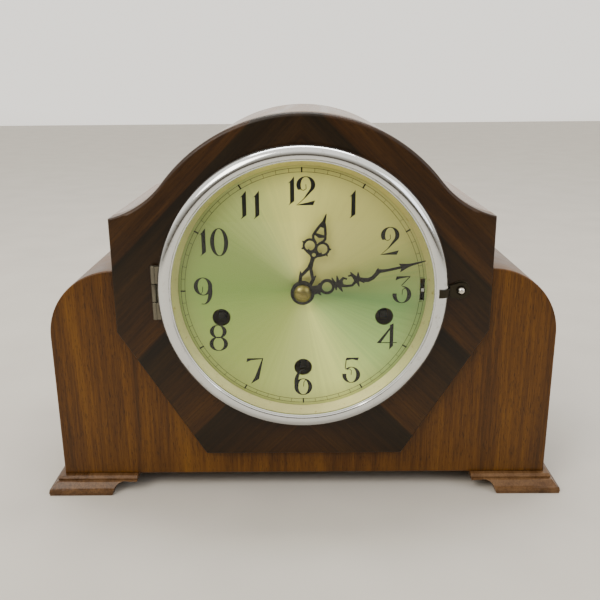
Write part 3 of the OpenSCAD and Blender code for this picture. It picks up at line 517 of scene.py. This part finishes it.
def prism(bm, outline, front, back):
    """Adds a closed flat outline in X-Z, as thick as front to back."""
    near = [bm.verts.new((x, front, z)) for x, z in outline]
    far = [bm.verts.new((x, back, z)) for x, z in outline]
    bm.faces.new(near)
    bm.faces.new(list(reversed(far)))
    for i in range(len(outline)):
        after = (i + 1) % len(outline)
        bm.faces.new((near[i], far[i], far[after], near[after]))


def band(bm, outer, inner, front, back):
    """Adds a flat closed band between two loops of equal count."""
    rows = [[bm.verts.new((x, y, z)) for x, z in loop] for loop, y in
            ((outer, front), (outer, back), (inner, back), (inner, front))]
    count = len(outer)
    for a, b in zip(rows, rows[1:] + rows[:1]):
        for i in range(count):
            after = (i + 1) % count
            bm.faces.new((a[i], a[after], b[after], b[i]))


track = bmesh.new()
half_line = 0.11
for radius in (69.4, 67.2):
    band(track, circle(0, dial_z, (radius + half_line) * MM, 180),
         circle(0, dial_z, (radius - half_line) * MM, 180), ink_front, ink_back)
for minute in range(60):
    a = math.radians(minute * 6)
    wide, inner, outer = (0.42, 66.9, 69.8) if minute % 5 == 0 else (0.1, 67.3, 69.3)
    side = Vector((math.cos(a), -math.sin(a))) * wide * MM
    aim = Vector((math.sin(a), math.cos(a))) * MM
    middle = Vector((0, dial_z))
    corners = [middle + aim * inner - side, middle + aim * inner + side,
               middle + aim * outer + side, middle + aim * outer - side]
    prism(track, [tuple(c) for c in corners], ink_front - 0.01 * MM, ink_back)
minute_ring = new_piece("minute_ring_printed", track, "case", ink)


def ellipse(x, z, rx, rz, start=0, end=360, steps=48):
    """Points on an ellipse, in millimetres; a full turn leaves out the last point."""
    full = abs(end - start) >= 360
    count = steps if full else steps + 1
    angles = [math.radians(start + (end - start) * i / steps) for i in range(count)]
    return [(x + rx * math.cos(a), z + rz * math.sin(a)) for a in angles]


def crescent(x, z, outer, inner, start, end):
    """A piece of the band between two ellipses: fat at the sides and fine above and below."""
    return ellipse(x, z, *outer, start, end, 24) + list(reversed(ellipse(x, z, *inner, start, end, 24)))


def bowl(x, z, rx, rz):
    """A closed round of a figure, in three pieces."""
    fat, fine = 2.35, 0.42
    return [crescent(x, z, (rx, rz), (rx - fat, rz - fine), a, a + 120) for a in (0, 120, 240)]


def taper(points, widths):
    """A line through points with its own width at each."""
    left, right = [], []
    for i, point in enumerate(points):
        before, after = Vector(points[max(i - 1, 0)]), Vector(points[min(i + 1, len(points) - 1)])
        way = (after - before).normalized()
        side = Vector((-way.y, way.x)) * widths[i] / 2
        left.append(tuple(Vector(point) - side))
        right.append(tuple(Vector(point) + side))
    return left + list(reversed(right))


def hairline(points, width):
    """A fine line through points, even in width."""
    return taper(points, [width] * len(points))


# Figures are drawn 16 mm high about their own middles. Where strokes cross, each is printed
# a few thousandths of a millimetre thicker than the last, so that their faces stay apart.
six = (bowl(0, -2.7, 5.3, 5.3) + [crescent(0, 0, (5.3, 8), (2.9, 7.6), 75, 200)]
       + [hairline([(0.2, -2.6), (0.4, 0.4), (1.6, 1.9), (2.7, 1.2)], 0.4)])
FIGURES = {
    "0": bowl(0, 0, 5.1, 8),
    "1": [[(1.2, 8), (-1.1, 5.2), (-2.1, 4.2), (-1.1, 4.5), (-1.1, -6.4), (-2.1, -8), (1.2, -5.6)]],
    "2": [crescent(0, 3.3, (5.2, 4.7), (2.8, 4.3), -30, 215),
          [(4.5, 1.0), (2.4, 1.2), (-1.4, -4.4), (-5.3, -7.9), (-4.6, -7.6), (-0.8, -4.4)],
          [(-5.3, -7.9), (4.0, -7.9), (5.1, -5.3), (1.0, -6.4), (-3.0, -7.2)],
          hairline([(0.0, 3.6), (0.2, 1.2), (-1.2, 0.3), (-2.6, 0.7)], 0.4)],
    "3": [[(-3.9, 5.5), (-3.3, 7.9), (4.6, 8), (4.3, 7.6), (-1.6, 6.5)],
          hairline([(4.4, 7.8), (-0.4, 2.5)], 0.5),
          crescent(0, -2.9, (5.4, 5.1), (3.0, 4.7), 172, 450),
          hairline([(0.1, -3.0), (0.2, -0.2), (1.4, 0.9), (2.6, 0.4)], 0.4)],
    "4": [[(1.3, 7.2), (3.4, 8.2), (3.4, -5.6), (1.1, -8), (1.3, -6.0)],
          [(3.2, 8.1), (-6.0, -3.6), (-3.6, -3.4), (1.6, 4.6)],
          [(-6.0, -3.4), (-6.0, -3.9), (5.6, -3.9), (5.6, -3.4)]],
    "5": [[(-3.3, 6.2), (-2.9, 7.9), (4.4, 8), (3.7, 6.2), (0.4, 6.9)],
          hairline([(-3.0, 7.4), (-3.6, 1.2)], 0.5),
          crescent(0, -2.9, (5.3, 5.1), (2.9, 4.7), 172, 495),
          hairline([(-0.1, -3.0), (0.1, -0.2), (-1.2, 0.9), (-2.4, 0.4)], 0.4)],
    "6": six,
    "7": [[(-4.9, 5.5), (-4.5, 7.9), (5, 8), (4.4, 7.4), (-2.4, 6.7)],
          [(5, 8), (4.3, 7.5), (-0.3, -4.2), (-2.7, -8.2), (2.2, -5.2), (2.5, -4.0)]],
    "8": bowl(0, 3.9, 4.9, 4.1) + bowl(0, -3.7, 5.4, 4.4),
    "9": [[(-x, -z) for x, z in shape] for shape in six],
}
FIGURE_RADIUS = 56.8
FIGURE_SPREAD = {"10": (-6.2, 2.6), "11": (-3.6, 3.6), "12": (-5.4, 2.2)}
figures = bmesh.new()
stroke_lift = 0.004 * MM
layer = 0
for hour in range(1, 13):
    a = math.radians(hour * 30)
    middle = Vector((FIGURE_RADIUS * math.sin(a), FIGURE_RADIUS * math.cos(a)))
    text = str(hour)
    for digit, shift in zip(text, FIGURE_SPREAD.get(text, (0,))):
        for shape in FIGURES[digit]:
            layer += 1
            lift = layer % 4 * stroke_lift
            points = [((middle.x + shift + x) * MM, dial_z + (middle.y + z) * MM) for x, z in shape]
            prism(figures, points, ink_front - lift, ink_back)
figure_ring = new_piece("hour_figures_printed", figures, "case", ink)


# Hands: pierced from thin steel and stoved black. The hour hand has two rings under a long
# leaf; the minute hand is a chain of rings, thorns and a wave that runs out to a barb.
def turned_to(shape, degrees):
    """Turns points drawn upright, in millimetres, clockwise about the dial's middle."""
    a = math.radians(degrees)
    return [((x * math.cos(a) + z * math.sin(a)) * MM, dial_z + (z * math.cos(a) - x * math.sin(a)) * MM)
            for x, z in shape]


def fused(name, shapes, bands, front, back, degrees, body, material):
    """Joins flat shapes and rings into one solid plate and softens its edges."""
    solids = []
    for shape in shapes:
        bm = bmesh.new()
        prism(bm, turned_to(shape, degrees), front, back)
        solids.append(bm)
    for outer, inner in bands:
        bm = bmesh.new()
        band(bm, turned_to(outer, degrees), turned_to(inner, degrees), front, back)
        solids.append(bm)
    makers = bpy.data.collections.new(name + "_parts")
    first = None
    scrap = []
    for bm in solids:
        bmesh.ops.recalc_face_normals(bm, faces=bm.faces)
        mesh = bpy.data.meshes.new(name + "_part")
        bm.to_mesh(mesh)
        bm.free()
        part = bpy.data.objects.new(name + "_part", mesh)
        scrap.append(part)
        if first is None:
            first = part
            bpy.context.collection.objects.link(part)
        else:
            makers.objects.link(part)
    bpy.context.scene.collection.children.link(makers)
    union = first.modifiers.new("union", "BOOLEAN")
    union.operation = "UNION"
    union.operand_type = "COLLECTION"
    union.collection = makers
    union.solver = "EXACT"
    bpy.context.view_layer.update()
    joined = bpy.data.meshes.new_from_object(first.evaluated_get(bpy.context.evaluated_depsgraph_get()))
    bm = bmesh.new()
    bm.from_mesh(joined)
    bmesh.ops.remove_doubles(bm, verts=bm.verts, dist=0.000002)
    for part in scrap:
        bpy.data.objects.remove(part)
    bpy.data.collections.remove(makers)
    piece = new_piece(name, bm, body, material, 30)
    ease_edges(piece, 0.12, 50)
    return piece


hand_black = enamel("stoved_black_steel", "#0e0d0c", 0.28)
hour_low, hour_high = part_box("hour_hand")
minute_low, minute_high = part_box("minute_hand")
HOUR_AT, MINUTE_AT = 16.7, 75.1
hour_shapes = [
    taper([(-3.0, 5.0), (-3.7, 9.0), (-4.6, 11.4)], [2.0, 1.9, 0.4]),
    taper([(3.0, 5.0), (3.7, 9.0), (4.6, 11.4)], [2.0, 1.9, 0.4]),
    taper([(-3.5, 8.8), (-2.0, 11.6), (-0.6, 14.4), (0, 20.0)], [1.6, 1.9, 1.9, 1.9]),
    taper([(3.5, 8.8), (2.0, 11.6), (0.6, 14.4), (0, 20.2)], [1.6, 1.9, 1.9, 1.9]),
    taper([(0, 17.6), (0, 21.4)], [2.2, 2.6]),
    taper([(-6.4, 27.4), (-8.4, 28.3)], [2.0, 0.5]),
    taper([(6.4, 27.4), (8.4, 28.3)], [2.0, 0.5]),
    taper([(-6.2, 25.2), (-7.6, 23.8)], [1.8, 0.5]),
    taper([(6.2, 25.2), (7.6, 23.8)], [1.8, 0.5]),
    taper([(-1.4, 22.4), (-4.4, 24.0)], [2.0, 2.4]),
    taper([(1.4, 22.4), (4.4, 24.0)], [2.0, 2.4]),
    taper([(-0.9, 29.2), (-2.9, 31.2), (-3.5, 33.0), (-2.7, 36.0), (-1.6, 39.0), (-0.6, 41.4)],
          [1.5, 1.5, 1.5, 1.5, 1.5, 1.2]),
    taper([(0.9, 29.2), (2.9, 31.2), (3.5, 33.0), (2.7, 36.0), (1.6, 39.0), (0.6, 41.4)],
          [1.5, 1.5, 1.5, 1.5, 1.5, 1.2]),
    taper([(-3.0, 34.2), (0, 33.6), (3.0, 34.2)], [1.2, 2.2, 1.2]),
    taper([(0, 38.6), (0, 42.6), (0, 46.5)], [3.0, 1.7, 0.5]),
]
hour_bands = [
    (ellipse(0, 0, 6.6, 6.6), ellipse(0, 0, 4.45, 4.45)),
    (ellipse(0, 22.5, 2.3, 2.3, steps=32), ellipse(0, 22.5, 1.1, 1.1, steps=32)),
    (ellipse(-3.65, 27.0, 4.1, 4.1, steps=40), ellipse(-3.65, 27.0, 2.8, 2.8, steps=40)),
    (ellipse(3.65, 27.0, 4.11, 4.11, steps=40), ellipse(3.65, 27.0, 2.81, 2.81, steps=40)),
]
hour_hand = fused("hour_hand_pierced", hour_shapes, hour_bands, hour_low[1], hour_high[1], HOUR_AT,
                  "hour_train", hand_black)
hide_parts("hour_hand")
minute_shapes = [
    taper([(0, 5.8), (0, 11.2)], [5.2, 4.2]),
    taper([(0.8, 8.2), (3.8, 9.8)], [2.2, 0.5]),
    taper([(-0.8, 9.0), (-3.2, 10.8)], [2.0, 0.5]),
    crescent(0, 14.4, (4.6, 4.5), (2.8, 2.9), 120, 240),
    taper([(0, 17.6), (0, 23.6)], [3.0, 2.8]),
    taper([(-0.6, 18.8), (-4.5, 18.2)], [2.2, 0.5]),
    taper([(-0.6, 20.9), (-4.8, 21.2)], [2.4, 0.5]),
    taper([(0.6, 19.2), (3.2, 18.8)], [2.0, 0.6]),
    taper([(0.6, 20.8), (5.0, 22.0)], [2.8, 0.5]),
    taper([(-0.8, 22.0), (-2.6, 24.4), (-1.4, 26.2)], [2.0, 1.4, 0.9]),
    taper([(1.2, 21.8), (2.4, 25.0), (2.9, 28.0), (1.2, 30.6)], [2.0, 1.4, 1.3, 1.8]),
    taper([(-2.9, 27.2), (-3.0, 29.0), (-1.2, 30.8)], [0.7, 1.3, 2.0]),
    taper([(-0.2, 29.8), (0.3, 33.4)], [3.2, 2.8]),
    taper([(-0.8, 30.8), (-4.8, 29.0)], [2.6, 0.5]),
    taper([(-0.6, 32.4), (-3.6, 33.2)], [2.2, 0.5]),
    taper([(0.5, 31.4), (4.6, 31.8)], [2.4, 0.5]),
    taper([(0.5, 32.8), (3.2, 35.0)], [1.9, 0.5]),
    taper([(0.2, 32.2), (1.5, 35.0), (2.2, 37.6), (1.7, 40.2), (0.2, 42.6), (-1.2, 44.8), (-0.9, 46.6)],
          [2.4, 2.5, 2.4, 2.2, 2.2, 2.4, 1.5]),
    taper([(-1.0, 43.6), (-2.9, 44.6)], [2.2, 0.5]),
    taper([(-0.9, 45.0), (-0.3, 50.0), (0, 58.0)], [2.0, 1.5, 1.4]),
    [(-2.4, 56.2), (-1.2, 60.2), (-0.7, 63.0), (0.7, 63.0), (1.2, 60.2), (2.6, 55.8), (0, 57.2)],
    taper([(0, 60.0), (0, 71.0)], [1.8, 0.5]),
]
minute_bands = [
    (ellipse(0, 0, 6.8, 6.8), ellipse(0, 0, 1.65, 1.65)),
    (ellipse(0, 14.2, 4.3, 4.3), ellipse(0, 14.2, 2.8, 2.8)),
]
minute_hand = fused("minute_hand_pierced", minute_shapes, minute_bands, minute_low[1], minute_high[1],
                    MINUTE_AT, "minute_train", hand_black)
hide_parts("minute_hand")


# Bezel: spun brass, chromium plated, with a half-round band, a narrow ridge round its inner
# edge and a two-knuckle hinge. Years of dusting have covered it with fine scratches.
def lathe(points, body, name, material, steps=180, smooth=30):
    """Turns a closed (radius, y) profile in metres about the dial's axis."""
    bm = bmesh.new()
    rings = []
    for k in range(steps):
        a = 2 * math.pi * k / steps
        rings.append([bm.verts.new((r * math.cos(a), y, dial_z + r * math.sin(a))) for r, y in points])
    for k in range(steps):
        a, b = rings[k], rings[(k + 1) % steps]
        for i in range(len(points)):
            after = (i + 1) % len(points)
            if points[i][0] == 0 and points[after][0] == 0:
                continue
            bm.faces.new((a[i], a[after], b[after], b[i]))
    bmesh.ops.remove_doubles(bm, verts=bm.verts, dist=0.000001)
    return new_piece(name, bm, body, material, smooth)


def plated(name, colour, rough, scratch, tarnish):
    """Bright plated metal with hairline scratches, and spots where it has tarnished.

    The eye sees clear reflections that blur along the scratches and dim in the spots.
    """
    material, tree = new_material(name)
    coords = add(tree, "TexCoord").outputs["Object"]
    long_way = add(tree, "Mapping", {"Scale": (160, 900, 900), "Rotation": (0, 0.7, 0)}, {"Vector": coords})
    lines = add(tree, "TexNoise", {"Scale": 1.0, "Detail": 4.0},
                {"Vector": long_way.outputs[0]}).outputs["Fac"]
    level = add(tree, "MapRange",
                {"From Min": 0.35, "From Max": 0.75, "To Min": rough, "To Max": rough + scratch},
                {"Value": lines})
    cloud = add(tree, "TexNoise", {"Scale": 260.0, "Detail": 4.0, "Roughness": 0.7}, {"Vector": coords})
    spot = add(tree, "MapRange", {"From Min": 0.60, "From Max": 0.74, "To Max": 0.8},
               {"Value": cloud.outputs["Fac"]})
    tone = add(tree, "Mix", {"data_type": "RGBA", 6: linear(colour), 7: linear(tarnish)},
               {0: spot.outputs[0]})
    bump = add(tree, "Bump", {"Strength": 0.04, "Distance": 0.0002}, {"Height": lines})
    surface = add(tree, "BsdfPrincipled", {"Metallic": 1.0},
                  {"Base Color": tone.outputs[2], "Roughness": level.outputs[0], "Normal": bump.outputs[0]})
    finish_material(tree, surface)
    return material


chrome = plated("chromium_plate", "#d3d6d6", 0.07, 0.10, "#a9a79c")
bezel_radius = 82.5 * MM
bezel_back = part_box("bezel_ring")[1][1]
band_middle = 76.9
band_forward = 8.6
band_round = 5.6
glass_seat = 75.6
lip_back = 12.4


def forward(points):
    """Profile points in millimetres, as (radius, distance in front of the board), in metres."""
    return [(radius * MM, face_y - ahead_by * MM) for radius, ahead_by in points]


half_round = [(band_middle + band_round * math.cos(a), band_forward + band_round * math.sin(a))
              for a in [math.radians(degrees) for degrees in range(0, 109, 4)]]
lip = [(74.75, 13.45), (74.6, 13.55), (74.1, 13.5), (73.85, 13.2), (73.8, 12.9), (73.8, lip_back)]
bezel_profile = ([(bezel_radius, bezel_back)] + forward(half_round + lip + [(glass_seat, lip_back)])
                 + [(glass_seat * MM, bezel_back)])
bezel = lathe(bezel_profile, "bezel_door", "bezel_ring_plated", chrome)
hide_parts("bezel_ring")


def round_bar(bm, x, y, low, high, radius):
    """An upright bar with eased ends, as part of a bmesh."""
    steps = 32
    ease = 0.25 * MM
    levels = [(low, radius - ease), (low + ease, radius), (high - ease, radius), (high, radius - ease)]
    turns = [2 * math.pi * k / steps for k in range(steps)]
    rings = [[bm.verts.new((x + r * math.cos(a), y + r * math.sin(a), z)) for a in turns] for z, r in levels]
    for a, b in zip(rings, rings[1:]):
        for k in range(steps):
            bm.faces.new((a[k], a[(k + 1) % steps], b[(k + 1) % steps], b[k]))
    bm.faces.new(list(reversed(rings[0])))
    bm.faces.new(rings[-1])


hinge_x = -84.2 * MM
hinge_y = face_y - 7.9 * MM
knuckle_radius = 1.5 * MM
knuckle_half = 5.1 * MM
leaf_end = -80.6 * MM
leaf_half = 5.0 * MM
leaf_half_thick = 0.9 * MM
knuckles = bmesh.new()
for middle in (dial_z - 10.6 * MM, dial_z + 10.6 * MM):
    round_bar(knuckles, hinge_x, hinge_y, middle - knuckle_half, middle + knuckle_half, knuckle_radius)
    leaf = [(hinge_x, middle - leaf_half), (leaf_end, middle - leaf_half),
            (leaf_end, middle + leaf_half), (hinge_x, middle + leaf_half)]
    prism(knuckles, leaf, hinge_y - leaf_half_thick, hinge_y + leaf_half_thick)
dull_chrome = plated("chromium_plate_dulled", "#6f6b5e", 0.32, 0.2, "#484234")
bezel_knuckles = new_piece("bezel_knuckles_plated", knuckles, "bezel_door", dull_chrome)
finish_cad("bezel_base", dull_chrome, 0.1)
finish_cad("bezel_hinge_pin", dull_chrome, 0.1)


# Sight ring: thin spun brass, gilt, that slopes from the glass down to the dial. Its gilding
# is speckled where it has worn.
gilt = plated("gilt_brass_speckled", "#f6ecbc", 0.42, 0.16, "#c9ad6c")
sight_rim = glass_seat - 0.02
sight_profile = forward([(71.0, 5.0), (70.95, 5.3), (71.15, 5.6), (72.6, 8.1), (74.3, 10.6),
                         (sight_rim, 10.8), (sight_rim, 6.4), (74.0, 5.0)])
sight_ring = lathe(sight_profile, "bezel_door", "sight_ring_gilt", gilt)
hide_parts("sight_ring")


# Glass: one clear pressed dome 1.4 mm thick, seated behind the bezel's lip. The eye sees
# through it, with a faint sheen that grows towards its slanting rim.
def clear_glass():
    """Clear glass that lets light straight through and mirrors a little at a slant."""
    material, tree = new_material("clear_domed_glass")
    facing = add(tree, "LayerWeight", {"Blend": 0.5}).outputs["Facing"]
    slant = add(tree, "Math", {"operation": "POWER", 1: 5.0}, {0: facing}).outputs[0]
    rim = add(tree, "Math", {"operation": "MULTIPLY_ADD", 1: 0.9, 2: 0.015}, {0: slant})
    through = add(tree, "BsdfTransparent", {"Color": (0.97, 0.985, 0.975, 1)})
    shine = add(tree, "BsdfGlossy", {"Roughness": 0.02})
    blend = add(tree, "MixShader", links={0: rim.outputs[0], 1: through.outputs[0], 2: shine.outputs[0]})
    finish_material(tree, blend)
    return material


glass = clear_glass()
dome_edge = 73.4 * MM
dome_rise = 4.6 * MM
glass_thick = 1.4 * MM
glass_front = face_y - 17 * MM
dome_radius = (dome_edge ** 2 + dome_rise ** 2) / (2 * dome_rise)
dome_sweep = math.asin(dome_edge / dome_radius)
dome_turns = [dome_sweep * i / 32 for i in range(33)]
dome_front = [(dome_radius * math.sin(a), glass_front + dome_radius * (1 - math.cos(a))) for a in dome_turns]
dome_front += forward([(glass_seat - 0.1, lip_back - 0.02)])
dome_back = [(r, y + glass_thick) for r, y in reversed(dome_front)]
dial_glass = lathe(dome_front + dome_back, "bezel_door", "domed_glass", glass, 120, 40)
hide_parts("dial_glass")


# Catch: a bent strip of bronzed brass on the bezel's rim. Its round end drops over a nickel
# stud in the raised panel, against a small keeper plate.
bronze = plated("bronzed_brass_strip", "#37332a", 0.34, 0.2, "#5a523f")
nickel = plated("nickel_plate_bright", "#cfccc2", 0.14, 0.1, "#a8a292")
for node, finish in (("bezel_tab", bronze), ("catch_plate", bronze), ("catch_stud", nickel)):
    finish_cad(node, finish, 0.15)


# Movement: rolled brass plates and wheels, lacquered, between steel arbors. Stamped and
# milled parts keep a fine grain from the stock, drawn here as coarse as 0.3 mm so it shows.
def brushed(name, colour, dark, rough):
    """Rolled or turned metal: its fine grain draws the highlights out into soft streaks."""
    material, tree = new_material(name)
    coords = add(tree, "TexCoord").outputs["Object"]
    scale = (1 / (4 * MM), 1 / (0.4 * MM), 1 / (0.3 * MM))
    drawn = add(tree, "Mapping", {"Scale": scale}, {"Vector": coords})
    grain = add(tree, "TexNoise", {"Scale": 1.0, "Detail": 3.0},
                {"Vector": drawn.outputs[0]}).outputs["Fac"]
    cloud = add(tree, "TexNoise", {"Scale": 60.0, "Detail": 3.0}, {"Vector": coords}).outputs["Fac"]
    mixed = add(tree, "Mix", {"data_type": "FLOAT", 0: 0.5}, {2: grain, 3: cloud}).outputs[0]
    tone = ramp(tree, mixed, [(0.35, dark), (0.65, colour)])
    level = add(tree, "MapRange", {"To Min": rough, "To Max": rough + 0.2}, {"Value": mixed})
    bump = add(tree, "Bump", {"Strength": 0.08, "Distance": 0.0001}, {"Height": grain})
    surface = add(tree, "BsdfPrincipled", {"Metallic": 1.0},
                  {"Base Color": tone.outputs["Color"], "Roughness": level.outputs[0],
                   "Normal": bump.outputs[0]})
    finish_material(tree, surface)
    return material


brass = brushed("rolled_brass_lacquered", "#d6b36a", "#a98442", 0.24)
steel = brushed("polished_steel", "#b9b9b6", "#8b8b88", 0.22)
rod_bronze = brushed("drawn_bronze_rod", "#a98a5c", "#7c603a", 0.3)
nut_brass = brushed("turned_brass_nut", "#a89c5e", "#6d6436", 0.2)
# Painted shade: the three winding arbors, whose squares sit deep in the dial's holes, get near-black steel
# tones.
steel_painted_shade = brushed("steel_square_painted_shade", "#2e2d2a", "#191816", 0.4)
for entry in frame["record"]["subparts"]:
    node, stock = entry["node"], entry["material_slot"]
    if stock == "brass":
        finish_cad(node, nut_brass if node == "hand_nut" else brass, 0.08)
    if stock == "steel":
        wound_by_key = node in ("time_arbor", "strike_arbor", "chime_arbor")
        finish_cad(node, steel_painted_shade if wound_by_key else steel, 0.08)
finish_cad("chime_rods", rod_bronze, 0.2)


# Gong block: a rough grey iron casting, painted black, that the chime rods are driven into.
# The sand of the mould leaves a pebbled skin that breaks up its dull shine.
def painted_casting():
    """Black paint over the sandy skin of a casting."""
    material, tree = new_material("black_painted_casting")
    coords = add(tree, "TexCoord").outputs["Object"]
    sand = add(tree, "TexNoise", {"Scale": 1 / (1.2 * MM), "Detail": 4.0}, {"Vector": coords}).outputs["Fac"]
    tone = ramp(tree, sand, [(0.3, "#161616"), (0.75, "#34322f")])
    bump = add(tree, "Bump", {"Strength": 0.5, "Distance": 0.0004}, {"Height": sand})
    surface = add(tree, "BsdfPrincipled", {"Roughness": 0.55},
                  {"Base Color": tone.outputs["Color"], "Normal": bump.outputs[0]})
    finish_material(tree, surface)
    return material


finish_cad("gong_block", painted_casting(), 0.8)


# Floor and light: a plain pale sweep, one large soft key from the front left, a fill from
# the right and a long lamp above that draws the bright line along the roof.
def pale_floor():
    """A matt pale floor with the faintest mottle."""
    material, tree = new_material("pale_floor")
    coords = add(tree, "TexCoord").outputs["Object"]
    mottle = add(tree, "TexNoise", {"Scale": 14.0, "Detail": 2.0}, {"Vector": coords}).outputs["Fac"]
    tone = ramp(tree, mottle, [(0.3, "#b4b0a8"), (0.7, "#bab6ae")])
    surface = add(tree, "BsdfPrincipled", {"Roughness": 0.75}, {"Base Color": tone.outputs["Color"]})
    finish_material(tree, surface)
    return material


floor_mesh = bpy.data.meshes.new("floor")
floor_half = 4.0
floor_corners = [(-floor_half, -floor_half, 0), (floor_half, -floor_half, 0),
                 (floor_half, floor_half, 0), (-floor_half, floor_half, 0)]
floor_mesh.from_pydata(floor_corners, [], [(0, 1, 2, 3)])
floor_mesh.materials.append(pale_floor())
floor = bpy.data.objects.new("floor", floor_mesh)
bpy.context.collection.objects.link(floor)


def soft_box(name, place, target, size, power, colour):
    """A rectangular soft light aimed at a point."""
    data = bpy.data.lights.new(name, "AREA")
    data.shape = "RECTANGLE"
    data.size, data.size_y = size
    data.energy = power
    data.color = linear(colour)[:3]
    lamp = bpy.data.objects.new(name, data)
    lamp.location = place
    way_down = Vector(target) - Vector(place)
    lamp.rotation_euler = way_down.to_track_quat("-Z", "Y").to_euler()
    bpy.context.collection.objects.link(lamp)


soft_box("key", (-0.9, -1.1, 1.3), (0, 0, 0.12), (0.9, 0.9), 21, "#fff6ea")
soft_box("fill", (1.2, -0.9, 0.8), (0, 0, 0.12), (0.8, 0.8), 6, "#f2f5ff")
soft_box("top_lamp", (0.0, 0.25, 1.5), (0, 0, 0.15), (1.3, 0.25), 14, "#ffffff")

# The room is brightest overhead and behind the clock, and darker in front of it, so that
# polished metal has something to show.
world = bpy.data.worlds.new("room")
world.use_nodes = True
sky = world.node_tree
sky.nodes.clear()
way = add(sky, "SeparateXYZ", links={"Vector": add(sky, "TexCoord").outputs["Generated"]})
back = add(sky, "Math", {"operation": "MULTIPLY_ADD", 1: 0.22, 2: 0.45}, {0: way.outputs["Y"]}).outputs[0]
lift = add(sky, "Math", {"operation": "MULTIPLY_ADD", 1: 0.5}, {0: way.outputs["Z"], 2: back}).outputs[0]
tint = ramp(sky, lift, [(0.08, "#322d27"), (0.3, "#544d44"), (0.52, "#c4beb3"), (0.64, "#fffaf1")])
glow = add(sky, "Background", {"Strength": 1.55}, {"Color": tint.outputs["Color"]})
add(sky, "OutputWorld", links={"Surface": glow.outputs[0]})
bpy.context.scene.world = world
